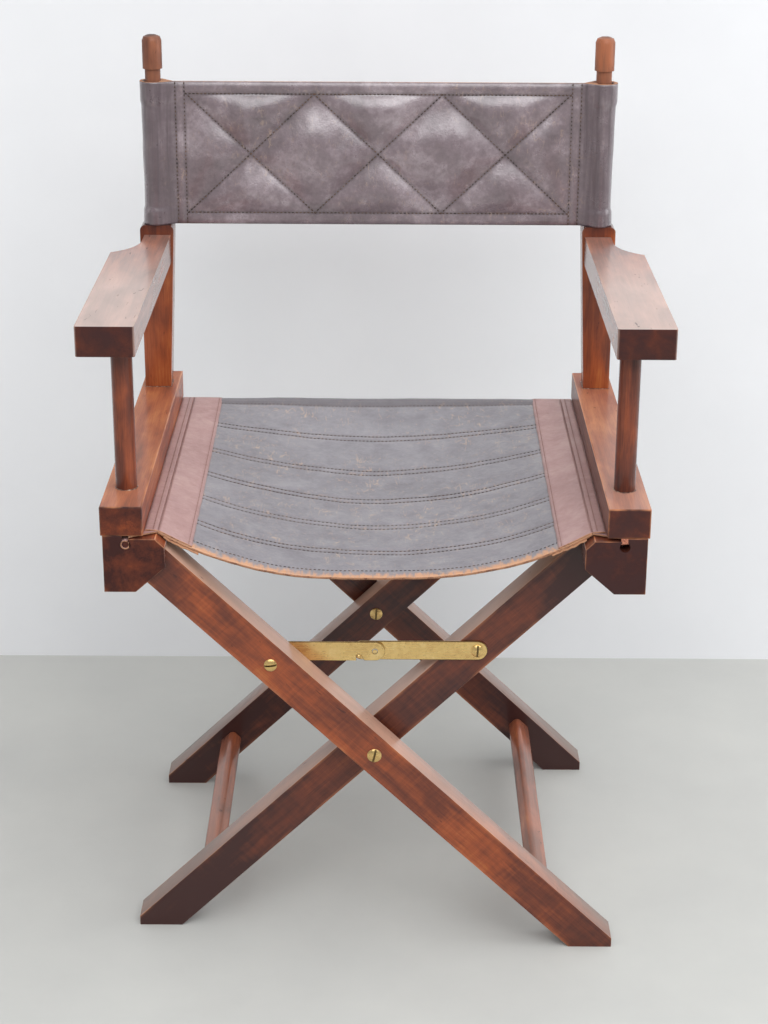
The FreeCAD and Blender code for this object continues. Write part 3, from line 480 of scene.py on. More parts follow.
# Pivots: a brass bolt and barrel nut through each pair of legs with a brass washer between them,
# and the two screws of the folding stay. The heads are domed, with a straight slot.
def aged_brass(name, shade):
    """Old brass; `shade` is how much of its own colour is kept, the rest going dark for dirt and painted shade.
    """
    material, shader = new_material(name, 0.3, Metallic=1.0)
    at = place_on(shader)
    cloud = speckle(at, 55.0, 4.0, 0.6)
    brushed = speckle(at, (30.0, 500.0, 900.0), 2.0)
    spots = speckle(at, 420.0, 2.0)
    colour = ramp(cloud, [(0.25, (0.62, 0.40, 0.16)), (0.55, (0.77, 0.54, 0.22)), (0.80, (0.88, 0.67, 0.33))])
    colour = mix(between(spots, 0.62, 0.72, 0.0, 0.35), colour, (0.22, 0.12, 0.04))
    feed(shader, Base_Color=mix(1.0 - shade, colour, (0.05, 0.03, 0.015)),
         Roughness=between(sum_of(cloud, brushed), 0.7, 1.3, 0.20, 0.38),
         Normal=relief(sum_of(brushed, spots), 0.0001, 0.25))
    return material


brass = aged_brass("aged_brass", 1.0)
# dark brass for the screw slots and the filed strap edges: dirt, and painted shade in the slots and along the
# edges
grime_and_shade = aged_brass("brass_grime", 0.16)


def new_tree(name, numbers, materials):
    """A geometry tree with named numbers and materials, what goes into it, and its end."""
    tree = bpy.data.node_groups.new(name, "GeometryNodeTree")
    tree.interface.new_socket("Geometry", in_out="INPUT", socket_type="NodeSocketGeometry")
    for socket in numbers + materials:
        kind = "NodeSocketFloat" if socket in numbers else "NodeSocketMaterial"
        tree.interface.new_socket(socket, in_out="INPUT", socket_type=kind)
    tree.interface.new_socket("Geometry", in_out="OUTPUT", socket_type="NodeSocketGeometry")
    return tree, tree.nodes.new("NodeGroupInput").outputs, tree.nodes.new("NodeGroupOutput")


def run_tree(name, tree, mesh, values):
    """A plain mesh of what a geometry tree makes from points."""
    item = new_object(name, mesh)
    maker = item.modifiers.new("maker", "NODES")
    maker.node_group = tree
    for socket in tree.interface.items_tree:
        if socket.in_out == "INPUT" and socket.name in values:
            maker[socket.identifier] = values[socket.name]
    return plain_mesh(item)


HEAD_TREE, given, last = new_tree("slotted_heads", ["Slot Width", "Slot Depth"], ["Material", "Slot Material"])
barrel = node(HEAD_TREE, "MeshCylinder", {"Vertices": 32, "Radius": 1.0, "Depth": 2.0})
ball = node(HEAD_TREE, "MeshUVSphere", {"Segments": 32, "Rings": 24, "Radius": 1.0})
flat_ball = node(HEAD_TREE, "Transform", {
    "Geometry": ball, "Translation": (0, 0, -0.6), "Scale": (1.25, 1.25, 1.6)})
domed = node(HEAD_TREE, "MeshBoolean", {"Mesh 2": [barrel, flat_ball]}, operation="INTERSECT")
slot_size = node(HEAD_TREE, "ShaderNodeCombineXYZ", {"X": given["Slot Width"], "Y": 4.0, "Z": 2.0})
slot_rise = node(HEAD_TREE, "ShaderNodeMath", {0: 2.0, 1: given["Slot Depth"]}, operation="SUBTRACT")
slot_place = node(HEAD_TREE, "ShaderNodeCombineXYZ", {"X": 0.0, "Y": 0.0, "Z": slot_rise})
slot_block = node(HEAD_TREE, "MeshCube", {"Size": slot_size})
slot_cut = node(HEAD_TREE, "Transform", {"Geometry": slot_block, "Translation": slot_place})
clean = node(HEAD_TREE, "SetMaterial", {"Geometry": domed, "Material": given["Material"]})
# the slot takes the dark brass: dirt, and painted shade in the recess
grimy_shaded_slot = node(HEAD_TREE, "SetMaterial", {"Geometry": slot_cut, "Material": given["Slot Material"]})
head = node(HEAD_TREE, "MeshBoolean", {"Mesh 1": clean, "Mesh 2": grimy_shaded_slot}, operation="DIFFERENCE")
turn = node(HEAD_TREE, "InputNamedAttribute", {"Name": "turn"}, data_type="FLOAT_VECTOR")
wide = node(HEAD_TREE, "InputNamedAttribute", {"Name": "wide"}, data_type="FLOAT_VECTOR")
facing = node(HEAD_TREE, "FunctionNodeEulerToRotation", {"Euler": turn})
heads = node(HEAD_TREE, "InstanceOnPoints", {
    "Points": given["Geometry"], "Instance": head, "Rotation": facing, "Scale": wide})
real_heads = node(HEAD_TREE, "RealizeInstances", {"Geometry": heads})
HEAD_TREE.links.new(real_heads.outputs["Geometry"], last.inputs["Geometry"])

FORWARD, REARWARD = math.radians(90), math.radians(-90)
SLOT_WIDE, SLOT_DEEP, NO_SLOT = 0.30, 0.6, -0.5
BOLT_RISE, SCREW_RISE = 0.0032, 0.0030


def slotted_heads(name, body, rows, *parts, slot=SLOT_DEEP):
    """Screw heads at (place, facing, slot's lean, width, height) rows, in place of CAD screws."""
    mesh = bpy.data.meshes.new(name)
    mesh.from_pydata([row[0] for row in rows], [], [])
    store(mesh, "turn", [(facing, math.radians(lean if facing > 0 else -lean), 0.0)
                         for _, facing, lean, _, _ in rows])
    store(mesh, "wide", [(width / 2, width / 2, height) for _, _, _, width, height in rows])
    item = run_tree(name, HEAD_TREE, mesh, {"Slot Width": SLOT_WIDE, "Slot Depth": slot, "Material": brass,
                                            "Slot Material": grime_and_shade})
    fitted(item, body, "brass", *parts)


def box_of(part):
    """The lowest corner, the highest corner and the middle of a CAD node."""
    low, high = (Vector(corner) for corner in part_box(part))
    return low, high, (low + high) / 2


bolt_low, bolt_high, _ = box_of("pivot_bolts")
left_low, left_high, left_at = box_of("stay_screw_left")
right_at = box_of("stay_screw_right")[2]
leg_front = box_of("outer_leg_front")[0].y
leg_rear = box_of("inner_leg_front")[1].y
strap_front = box_of("stay_strap_right")[0].y
bolt_head = (bolt_high.x - bolt_low.x, BOLT_RISE)
screw_head = (left_high.x - left_low.x, SCREW_RISE)
slotted_heads("pivot_heads", "outer_frame", [
    ((0, leg_front, pivot.z), FORWARD, 12, *bolt_head),
    ((0, leg_rear, pivot.z), REARWARD, -35, *bolt_head),
    ((0, -leg_front, pivot.z), REARWARD, 20, *bolt_head),
    ((0, -leg_rear, pivot.z), FORWARD, 4, *bolt_head),
    ((left_at.x, leg_front, left_at.z), FORWARD, 84, *screw_head),
], "pivot_bolts", "pivot_nuts", "stay_screw_left")
slotted_heads("stay_right_head", "stay_right", [
    ((right_at.x, strap_front, right_at.z), FORWARD, 3, *screw_head)], "stay_screw_right")
repaint("pivot_washers", brass)

# Folding stay: two flat brass straps on a rivet in the gap between the front legs, with a stop stud
# that drops into a notch when the chair is open. The straps have lightly filed edges, and the rivet and
# the stud have plain low heads.
STRAP_EASE, STRAP_SHORT_EDGE = 0.0005, 0.0004
RIVET_WIDE, RIVET_RISE = 0.0046, 0.0004
STUD_SUNK, STUD_RISE = 0.0015, 0.0018
for side in HANDS:
    part = "stay_strap_" + side
    # the filed edges take the dark brass: dirt, and painted shade along them
    strap = eased_copy(part, "brass_" + part, STRAP_EASE, STRAP_SHORT_EDGE, brass, grime_and_shade)
    fitted(strap, "stay_" + side, "brass", part)
rivet_low, _, rivet_at = box_of("stay_rivet")
slotted_heads("rivet_head", "stay_left", [
    ((rivet_at.x, rivet_low.y, rivet_at.z), FORWARD, 0, RIVET_WIDE, RIVET_RISE)], "stay_rivet", slot=NO_SLOT)
stud_low, stud_high, stud_at = box_of("stop_stud")
slotted_heads("stud_head", "stay_right", [
    ((stud_at.x, stud_low.y + STUD_SUNK, stud_at.z), FORWARD, 0, stud_high.x - stud_low.x, STUD_RISE)],
    "stop_stud", slot=NO_SLOT)


# Seat: one sheet of dark leather slung between the rails, tight along the rear hem and hollowed by use.
# Five double rows of stitching cross it, the rear edge is hemmed, and the front edge is raw and frayed.
seat_low, seat_high, _ = box_of("seat_panel_right")
SEAT_HALF = seat_high.x
SEAT_REAR, SEAT_FRONT = seat_high.y, seat_low.y
SEAT_TOP = seat_high.z
LEATHER = 0.0026
SEAT_SAG = SEAT_TOP - seat_low.z - LEATHER
ROW_PLACES = (0.140, 0.062, -0.008, -0.076, -0.146)
ROW_APART = 0.009
ROW_DEEP, ROW_WIDE = 0.0007, 0.0022
HEM_DEEP, HEM_WIDE, HEM_RISE, HEM_RUN = 0.0009, 0.002, 0.0012, 0.0008
LUMPS, SMALL_LUMPS = 0.0011, 0.0004
HEM_LINE = SEAT_REAR - 0.013
FRONT_LINE = SEAT_FRONT + 0.016
seat_lines = [row + step for row in ROW_PLACES for step in (-ROW_APART / 2, ROW_APART / 2)]


def waves(x, y, scale, seed):
    """Smooth unevenness between -1 and 1."""
    heights = [noise.noise((px * scale, py * scale, seed)) for px, py in zip(x.ravel(), y.ravel())]
    return np.array(heights).reshape(x.shape)


def seat_surface(x, y):
    """Height of the seat, which hangs in a curve that flattens towards the middle and is uneven."""
    run = (SEAT_REAR - y) / (SEAT_REAR - SEAT_FRONT)
    drop = SEAT_SAG * (1 - (1 - np.clip(run, 0, 1)) ** 3)
    square = 1.6 + run ** 2
    height = SEAT_TOP - drop * (1 - np.abs(x / SEAT_HALF) ** square)
    inside = 1 - np.abs(x / SEAT_HALF) ** 4
    return height + inside * (LUMPS * waves(x, y, 14.0, 0.3) + SMALL_LUMPS * waves(x, y, 45.0, 4.1))


def groove(away, deep, wide):
    """How far a seam draws the leather down at a distance from it."""
    return deep * np.exp(-(away / wide) ** 2)


def seat_relief(x, y):
    """Height of the seat with its sewn rows and hem as well."""
    z = seat_surface(x, y)
    for line in seat_lines:
        z = z - groove(y - line, ROW_DEEP, ROW_WIDE)
    z = z - groove(y - HEM_LINE, HEM_DEEP, HEM_WIDE)
    return z + HEM_RISE / (1 + np.exp(-(y - HEM_LINE - HEM_WIDE) / HEM_RUN))


def leather(name, colours, seam_shade_colour, rough, clouded=1.0, scratch=0.0, dust=0.0, wax=0.0):
    """Worn leather: `colours` from deep to rubbed in clouds, painted shade in `seam_shade_colour` along the
    seams, a fine pebbled grain, scratches, a bloom of dust and a coat of wax."""
    material, shader = new_material(name, rough, Specular_IOR_Level=0.95, Sheen_Weight=dust, Coat_Weight=wax,
                                    Coat_Roughness=0.24, Sheen_Roughness=0.4, Sheen_Tint=(0.92, 0.94, 1.0, 1.0))
    at = place_on(shader)
    cloud = speckle(at, 11.0, 4.0, 0.6, 0.3)
    mottle = speckle(at, 42.0, 4.0, 0.6, 0.4)
    fine = speckle(at, 190.0, 4.0, 0.65)
    pebble = node(shader.id_data, "TexVoronoi", {"Vector": at, "Scale": 520.0}).outputs["Distance"]
    tone = between(cloud, 0.3, 0.7, 0.48 - 0.28 * clouded, 0.48 + 0.28 * clouded)
    tone = sum_of(sum_of(tone, swing(mottle, 0.16)), between(fine, 0.35, 0.65, -0.08, 0.08))
    colour = ramp(tone, list(zip((0.05, 0.5, 0.95), colours)))
    # painted shade in the hollow of each seam
    colour = mix(between(kept(shader, "seam", "Fac"), 0.0004, 0.0030, 0.55, 0.0), colour, seam_shade_colour)
    if scratch:
        patchy = times(between(speckle(at, 13.0), 0.40, 0.64), between(speckle(at, 110.0, 2.0), 0.46, 0.58))
        for scale, start in (((75.0, 15.0, 20.0), 0.0), ((44.0, 28.0, 34.0), 4.0), ((95.0, 22.0, 28.0), 9.0)):
            wander = speckle(at, scale, 2.0, 0.5, 0.6, (start, start, 0.0))
            hairline = between(amount(sum_of(wander, 0.5, "SUBTRACT")), 0.003, 0.011, scratch, 0.0)
            colour = mix(times(hairline, patchy), colour, (0.56, 0.38, 0.25))
    height = sum_of(times(pebble, 0.4), sum_of(fine, mottle))
    feed(shader, Base_Color=colour, Roughness=between(mottle, 0.3, 0.7, rough + 0.08, rough - 0.06),
         Normal=relief(height, 0.0005, 0.6))
    return material, shader


def tinted(shader, share, colour):
    """Lays another colour over a finished material by a share."""
    under = shader.inputs["Base Color"].links[0].from_socket
    feed(shader, Base_Color=mix(share, under, colour))


def raw_edge(name, deep, pale):
    """The cut edge or flesh side of leather, fibrous and dry."""
    material, shader = new_material(name, 0.85)
    at = place_on(shader)
    fibre = speckle(at, 700.0, 3.0, 0.7)
    colour = ramp(sum_of(fibre, speckle(at, 60.0, 2.0)), [(0.75, deep), (1.25, pale)])
    feed(shader, Base_Color=colour, Normal=relief(fibre, 0.0006, 0.7))
    return material


def thickened(item, thickness, offset=-1.0):
    """Gives a sheet its thickness; the under side and the edge take the materials after the first."""
    last = len(item.data.materials) - 1
    sheet = item.modifiers.new("leather", "SOLIDIFY")
    sheet.thickness = thickness
    sheet.offset = offset
    sheet.material_offset = min(1, last)
    sheet.material_offset_rim = min(2, last)
    return plain_mesh(item)


# the seat's pale blue-grey is partly dust on the dark leather and partly a painted reflection of the pale wall
SEAT_DUST_AND_SHEEN_COLOURS = ((0.136, 0.124, 0.138), (0.214, 0.202, 0.220), (0.305, 0.286, 0.305))
SEAT_SEAM_SHADE, SEAT_BARE, SEAT_HEM = (0.085, 0.060, 0.058), (0.56, 0.28, 0.14), (0.075, 0.060, 0.068)
seat_leather, seat_shader = leather("seat_leather", SEAT_DUST_AND_SHEEN_COLOURS, SEAT_SEAM_SHADE, rough=0.38, clouded=0.55,
                                    scratch=0.56, dust=0.2)
flesh_side = raw_edge("leather_flesh", (0.17, 0.10, 0.06), (0.34, 0.21, 0.13))
cut_edge = raw_edge("leather_cut_edge", (0.15, 0.062, 0.040), (0.46, 0.23, 0.125))

SEAT_COLUMNS, SEAT_ROWS = 125, 145
FRAY, FRAY_DROP = 0.0007, 0.0006
x_grid, y_grid = np.meshgrid(np.linspace(-SEAT_HALF, SEAT_HALF, SEAT_COLUMNS),
                             np.linspace(SEAT_FRONT, SEAT_REAR, SEAT_ROWS))
seat_points = np.stack([x_grid, y_grid, seat_relief(x_grid, y_grid)], axis=-1)
edge_x, level = x_grid[0], np.zeros(SEAT_COLUMNS)
seat_points[0, :, 1] += FRAY * (waves(edge_x, level, 160.0, 2.0) + 0.6 * waves(edge_x, level, 420.0, 5.0))
seat_points[0, :, 2] -= FRAY_DROP
seat = sheet_of("seat_leather", seat_points, seat_leather, flesh_side, cut_edge)
store(seat.data, "seam", np.min([np.abs(y_grid - line) for line in seat_lines + [HEM_LINE]], axis=0), "FLOAT")
thickened(seat, LEATHER)

# rubbed, orange-brown leather along the raw front edge, and darker leather along the hem
seat_at = place_on(seat_shader)
seat_y = axes(seat_at)["Y"]
bare = speckle(seat_at, (260.0, 60.0, 60.0), 3.0, 0.6)
near = between(seat_y, SEAT_FRONT, SEAT_FRONT + 0.026, 0.42, -0.26)
tinted(seat_shader, between(sum_of(bare, near), 0.62, 0.88), SEAT_BARE)
tinted(seat_shader, between(seat_y, HEM_LINE - 0.003, HEM_LINE + 0.001, 0.0, 0.6), SEAT_HEM)

# As the chair folds, the middle of the seat goes up between the arms. Each half of the leather turns up with
# its own side, so the sheet is made as two halves that meet along the middle.
ridge = hinges["seat_right_fold"]
span = ridge - hinges["seat_left_fold"]
SEAT_ACROSS = {"seat_left": (-span.z, 0, span.x), "seat_right": (span.z, 0, span.x)}
SNAP = 0.0003


def on_leather(item, body, slot, *parts):
    """Fixes a piece of leather to a body; a half of the seat also gets a mesh of its own."""
    fitted(item, body, slot, *parts)
    if body in SEAT_ACROSS:
        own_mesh(item)
    return item


def on_seat(item):
    """Parts a piece of the seat along the middle and gives its two halves, each on its own side."""
    halves = {}
    for side, hand in HANDS.items():
        shape = bmesh.new()
        shape.from_mesh(item.data)
        parted = bmesh.ops.bisect_plane(shape, geom=shape.verts[:] + shape.edges[:] + shape.faces[:], dist=SNAP,
                                        plane_co=(0, 0, 0), plane_no=(-hand, 0, 0), clear_outer=True)
        rim = [part for part in parted["geom_cut"] if isinstance(part, bmesh.types.BMEdge)]
        for edge in rim:
            edge.smooth = False
        for face in bmesh.ops.holes_fill(shape, edges=rim)["faces"]:
            face.material_index = len(item.data.materials) - 1
        mesh = bpy.data.meshes.new(f"{item.name}_{side}")
        shape.to_mesh(mesh)
        shape.free()
        half = new_object(mesh.name, mesh, *item.data.materials)
        halves[side] = on_leather(half, "seat_" + side, "leather_dark")
    bpy.data.objects.remove(item)
    return halves


seat_halves = on_seat(seat)
for side, half in seat_halves.items():
    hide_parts("seat_panel_" + side)


# Stitches: dark waxed thread in even steps along each sewn line, sunk a little in the leather. Each
# stitch is a short bead of thread, and the rows run from one side strip to the other.
def waxed_thread(name, deep, pale):
    """Thread with a fine twist, rubbed in places."""
    material, shader = new_material(name, 0.6)
    at = place_on(shader)
    worn = sum_of(times(speckle(at, 900.0, 2.0), 0.3), speckle(at, 75.0, 2.0))
    feed(shader, Base_Color=ramp(worn, [(0.50, deep), (0.95, pale)]))
    return material


def row_tree(name, width):
    """A geometry tree for lines, with its even steps along them."""
    tree, given, last = new_tree(name, ["Pitch", "Length", width], ["Material"])
    path = node(tree, "MeshToCurve", {"Mesh": given["Geometry"]})
    steps = node(tree, "ResampleCurve", {"Curve": path, "Length": given["Pitch"]}, mode="LENGTH")
    return tree, given, last, steps


def finish_tree(tree, given, last, pieces, smooth):
    """Sets pieces on points, makes them real, smooths and paints them."""
    shape = node(tree, "InstanceOnPoints", pieces)
    shape = node(tree, "RealizeInstances", {"Geometry": shape})
    if smooth:
        shape = node(tree, "SetShadeSmooth", {"Geometry": shape})
    shape = node(tree, "SetMaterial", {"Geometry": shape, "Material": given["Material"]})
    tree.links.new(shape.outputs["Geometry"], last.inputs["Geometry"])


dark_thread = waxed_thread("dark_thread", (0.020, 0.012, 0.011), (0.17, 0.095, 0.065))
STITCH_TREE, given, last, steps = row_tree("stitches", "Thread")
bead = node(STITCH_TREE, "MeshUVSphere", {"Segments": 6, "Rings": 4, "Radius": 0.5})
lay = node(STITCH_TREE, "FunctionNodeAlignRotationToVector", {
    "Vector": node(STITCH_TREE, "InputTangent")}, axis="X")
bead_size = node(STITCH_TREE, "ShaderNodeCombineXYZ", {
    "X": given["Length"], "Y": given["Thread"], "Z": given["Thread"]})
finish_tree(STITCH_TREE, given, last, {
    "Points": steps, "Instance": bead, "Rotation": lay, "Scale": bead_size}, smooth=True)
STITCH_PITCH, STITCH_LONG, THREAD = 0.0044, 0.0030, 0.0011


def line_mesh(name, lines):
    """A mesh of bare edges along rows of points."""
    points, edges = [], []
    for line in lines:
        edges += [(len(points) + i, len(points) + i + 1) for i in range(len(line) - 1)]
        points += [tuple(point) for point in line]
    mesh = bpy.data.meshes.new(name)
    mesh.from_pydata(points, edges, [])
    return mesh


def sewn(name, lines, material, thread=THREAD):
    """Stitches along lines, each a row of points that lie on the leather."""
    return run_tree(name, STITCH_TREE, line_mesh(name, lines), {
        "Pitch": STITCH_PITCH, "Length": STITCH_LONG, "Thread": thread, "Material": material})


STRIP_INNER, STRIP_OUTER, STRIP_THICK = 0.186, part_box("base_rail_right")[0][0] - 0.0003, 0.0016
SINK = 0.0001
ROW_POINTS = 150
ROW_WANDER = 0.0006
row_x = np.linspace(-STRIP_INNER, STRIP_INNER, ROW_POINTS)
row_lines = []
for line in seat_lines + [HEM_LINE, FRONT_LINE]:
    row_y = np.full_like(row_x, line) + ROW_WANDER * np.sin(row_x * 31 + line * 90)
    row_lines.append(np.stack([row_x, row_y, seat_relief(row_x, row_y) + SINK], axis=-1))
on_seat(sewn("seat_stitches", row_lines, dark_thread))

# Frayed edge: short fibres of bare leather that stand out of the raw front edge, where the hide was cut
# and not hemmed. They are thin cones of uneven length that lean every way.
FRAY_TREE, given, last, steps = row_tree("frayed_edge", "Fibre")
hair = node(FRAY_TREE, "MeshCone", {
    "Vertices": 4, "Radius Top": 0.0, "Radius Bottom": given["Fibre"], "Depth": given["Length"]})
lean = node(FRAY_TREE, "FunctionNodeRandomValue", {
    "Min": (0.7, -0.8, -0.9), "Max": (2.6, 0.8, 0.9), "Seed": 4}, data_type="FLOAT_VECTOR")
reach = node(FRAY_TREE, "FunctionNodeRandomValue", {2: 0.25, 3: 1.0, "Seed": 9}, data_type="FLOAT")
facing = node(FRAY_TREE, "FunctionNodeEulerToRotation", {"Euler": lean})
finish_tree(FRAY_TREE, given, last, {
    "Points": steps, "Instance": hair, "Rotation": facing, "Scale": reach.outputs[1]}, smooth=False)
FIBRE_PITCH, FIBRE_LONG, FIBRE_THICK, FIBRE_DROP = 0.0009, 0.0042, 0.00022, 0.0004
edge_points = seat_points[0, np.abs(x_grid[0]) < STRIP_INNER] - np.array([0.0, 0.0, FIBRE_DROP])
on_seat(run_tree("front_fray", FRAY_TREE, line_mesh("front_fray", [edge_points]), {
    "Pitch": FIBRE_PITCH, "Length": FIBRE_LONG, "Fibre": FIBRE_THICK, "Material": cut_edge}))

# Seat strips: a band of dusty red-brown leather sewn along each side of the seat, where it goes into the
# rail. Two rows of stitching run near the rail and one near the inner edge, and the front corner is torn.
STRIP_COLOURS = ((0.300, 0.155, 0.140), (0.400, 0.228, 0.210), (0.500, 0.315, 0.290))
strip_leather = leather("strip_leather", STRIP_COLOURS, (0.30, 0.155, 0.14), rough=0.45, clouded=0.8,
                        scratch=0.12, dust=0.15)[0]
red_thread = waxed_thread("red_thread", (0.20, 0.095, 0.080), (0.40, 0.22, 0.18))
RED_THREAD = 0.0009
STRIP_LINES = (STRIP_OUTER - 0.0085, STRIP_OUTER - 0.0135, STRIP_INNER + 0.0035)
STRIP_COLUMNS, BORDER_COLUMNS = 15, 9
STRIP_BEND = 0.006
STRIP_WANDER = 0.0005
RIM_DEEP, RIM_WIDE = 0.0006, 0.0012
SEAM_DEEP, SEAM_WIDE = 0.0002, 0.0016
TORN_INNER, TORN_OUTER, TORN_DEEP, TORN_THICK = 0.180, 0.215, 0.0050, 0.0012
TORN_COLUMNS, TORN_ROWS = 24, 5
TORN_LEAN, TORN_CURL = 0.0030, 0.0012
torn_x = np.linspace(TORN_INNER, TORN_OUTER, TORN_COLUMNS)
strip_y = np.linspace(SEAT_FRONT + 0.0004, SEAT_REAR + 0.0015, SEAT_ROWS)


def strip_height(x, y):
    """The upper side of a strip, which lies on the seat and bends out flat over the rail's edge."""
    past = np.clip((np.abs(x) - SEAT_HALF + STRIP_BEND) / (2 * STRIP_BEND), 0, 1)
    level = np.minimum(np.abs(x), SEAT_HALF - STRIP_BEND) + 2 * STRIP_BEND * (past - past ** 2 / 2)
    return seat_surface(np.sign(x) * level, np.clip(y, SEAT_FRONT, SEAT_REAR)) + STRIP_THICK


def strip_part(name, body, hand, near, far, columns):
    """The leather of a strip between two distances from the middle of the seat."""
    x, y = np.meshgrid(np.linspace(near, far, columns) * hand, strip_y)
    if near == STRIP_INNER:
        x[:, 0] += [STRIP_WANDER * noise.noise((0.0, place * 60.0, 7.0 * hand)) for place in strip_y]
    rim = np.minimum(np.abs(x) - STRIP_INNER, STRIP_OUTER - np.abs(x))
    seams = np.min([np.abs(np.abs(x) - line) for line in STRIP_LINES], axis=0)
    z = strip_height(x, y) - groove(rim, RIM_DEEP, RIM_WIDE) - groove(seams, SEAM_DEEP, SEAM_WIDE)
    item = sheet_of(name, np.stack([x, y, z], axis=-1), strip_leather, flesh_side, cut_edge, flip=hand < 0)
    store(item.data, "seam", seams, "FLOAT")
    return on_leather(thickened(item, STRIP_THICK), body, "leather_red")


def strip_stitches(name, body, hand, places):
    """The rows of stitching on one part of a strip."""
    lines = []
    for place in places:
        x = np.full_like(strip_y, place * hand)
        lines.append(np.stack([x, strip_y, strip_height(x, strip_y) + SINK], axis=-1)[1:-1])
    return on_leather(sewn(name, lines, red_thread, RED_THREAD), body, "leather_red")


for side, hand in HANDS.items():
    seat_body, rail_body = "seat_" + side, side + "_side"
    strip = strip_part("seat_strip_" + side, seat_body, hand, STRIP_INNER, SEAT_HALF, STRIP_COLUMNS)
    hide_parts("seat_strip_" + side)
    border = strip_part("strip_border_" + side, rail_body, hand, SEAT_HALF, STRIP_OUTER, BORDER_COLUMNS)
    inner_row = strip_stitches("strip_stitches_" + side, seat_body, hand, STRIP_LINES[2:])
    outer_rows = strip_stitches("border_stitches_" + side, rail_body, hand, STRIP_LINES[:2])
    x, hang = np.meshgrid(torn_x * hand, np.linspace(0, 1, TORN_ROWS))
    ragged = 0.6 + 0.6 * waves(x, np.zeros_like(x), 170.0, 2.0)
    y = SEAT_FRONT + TORN_LEAN - TORN_LEAN * hang + TORN_CURL * waves(x, hang, 120.0, 5.0)
    z = seat_surface(x, np.full_like(x, SEAT_FRONT)) - LEATHER - TORN_DEEP * hang * ragged
    torn = sheet_of("torn_leather_" + side, np.stack([x, y, z], axis=-1), cut_edge, flip=hand < 0)
    on_leather(thickened(torn, TORN_THICK), seat_body, "leather_red")

# Seat rods and loops: each side of the seat leather goes through a slot in the rail and round a wooden rod
# in a groove, which holds it by its own thickness. On the right the rod has slipped back in its groove and
# the end of the leather is torn.
LOOP_WALL = 0.0014
LOOP_BEND = 0.004
LOOP_ARC = np.radians(np.linspace(125, -215, 40))
LOOP_ROWS = 30
ROD_EASE = 0.0006
ROD_SLIP = {"left": 0.0015, "right": 0.060}
LOOP_SLIP = {"left": 0.0008, "right": 0.030}
LOOP_TORN = {"left": 0.0004, "right": 0.0030}
for side, hand in HANDS.items():
    rod = wooden("seat_rod_" + side, side + "_side", TO_REAR, ROD_EASE, lower_wood)
    for point in rod.data.vertices:
        if point.co.y < 0:
            point.co.y += ROD_SLIP[side]
    rod_low, rod_high, centre = box_of("seat_rod_" + side)
    loop_low, loop_high, _ = box_of("seat_loop_" + side)
    radius = (rod_high.z - rod_low.z) / 2
    top = loop_high.z
    mouth, bend = SEAT_HALF * hand, centre.x - LOOP_BEND * hand
    outer = [(mouth, top), (bend, top)]
    inner = [(mouth, top - LOOP_WALL), (bend, top - LOOP_WALL)]
    for angle in LOOP_ARC:
        for line, reach in ((outer, radius + LOOP_WALL), (inner, radius + 2 * SINK)):
            line.append((centre.x + hand * reach * math.cos(angle), centre.z + reach * math.sin(angle)))
    outline = outer + inner[::-1] + outer[:1]
    points = np.array([[(x, y, z) for x, z in outline] for y in np.linspace(rod_low.y, loop_high.y, LOOP_ROWS)])
    for point, (x, z) in zip(points[0], outline):
        if abs(x) < abs(bend) - SINK:
            point[1] = loop_low.y
        elif z < rod_high.z:
            point[1] += LOOP_SLIP[side]
        else:
            point[1] += LOOP_TORN[side] * (1.2 + noise.noise((x * 900, z * 900, 1.0)))
    loop = sheet_of("seat_loop_" + side, points, strip_leather, cut_edge, flip=hand > 0)
    closed(loop.data)
    store(loop.data, "seam", np.full(len(loop.data.vertices), 1.0), "FLOAT")
    fitted(loop, side + "_side", "leather_red", "seat_loop_" + side)

# the scrap that hangs in the mouth of the right groove, the last one made above
SCRAP_LEFT, SCRAP_RIGHT, SCRAP_BACK = 0.0040, 0.0036, 0.0012
SCRAP_HANG, SCRAP_RAGGED = 0.0058, 0.0045
torn_red = raw_edge("torn_red_leather", (0.20, 0.055, 0.035), (0.56, 0.22, 0.13))
x, hang = np.meshgrid(np.linspace(centre.x - SCRAP_LEFT, centre.x + SCRAP_RIGHT, 15), np.linspace(0, 1, 6))
y = rod_low.y + SCRAP_BACK + SCRAP_BACK * waves(x, hang * 0.004, 420.0, 1.0)
z = top - hang * (SCRAP_HANG + SCRAP_RAGGED * waves(x, np.zeros_like(hang), 520.0, 3.0))
scrap = sheet_of("torn_end", np.stack([x, y, z], axis=-1), torn_red)
fitted(thickened(scrap, LOOP_WALL, offset=0.0), "right_side", "leather_red")

# Back: a quilted leather band, two layers with padding between, sewn in diamonds and folded round the two
# back rods in sleeves. The sleeves are closed by a double row of stitching.
panel_low, panel_high, _ = box_of("back_panel_right")
sleeve_low, sleeve_high, _ = box_of("back_sleeve_right")
rod_low, rod_high, _ = box_of("back_rod_right")
ROD_X, ROD_Y = (rod_low.x + rod_high.x) / 2, (rod_low.y + rod_high.y) / 2
BACK_LOW, BACK_HIGH = panel_low.z, panel_high.z
BACK_MIDDLE = (BACK_LOW + BACK_HIGH) / 2
FRONT_SKIN, REAR_SKIN = panel_low.y + 0.0012, panel_high.y
SLEEVE_ROUND = (sleeve_high.y - sleeve_low.y) / 2
SLEEVE_WALL, SLEEVE_SEAM, SLEEVE_RUN = 0.0024, 0.2300, 0.006
SLEEVE_ARC = (-128, 142)
QUILT_PITCH = 0.072
QUILT_END = 3 * QUILT_PITCH
QUILT_HALF = (BACK_HIGH - BACK_LOW) / 2 - 0.0135
PUFF, PUFF_RUN, REAR_PUFF = 0.0190, 0.0210, 0.35
MARGIN, MARGIN_RUN = 0.0010, 0.002
BACK_SEAMS, SEAM_SHORT = (0.2178, 0.2280), 0.002
ROLL, ROLL_RUN = 0.0018, 0.007
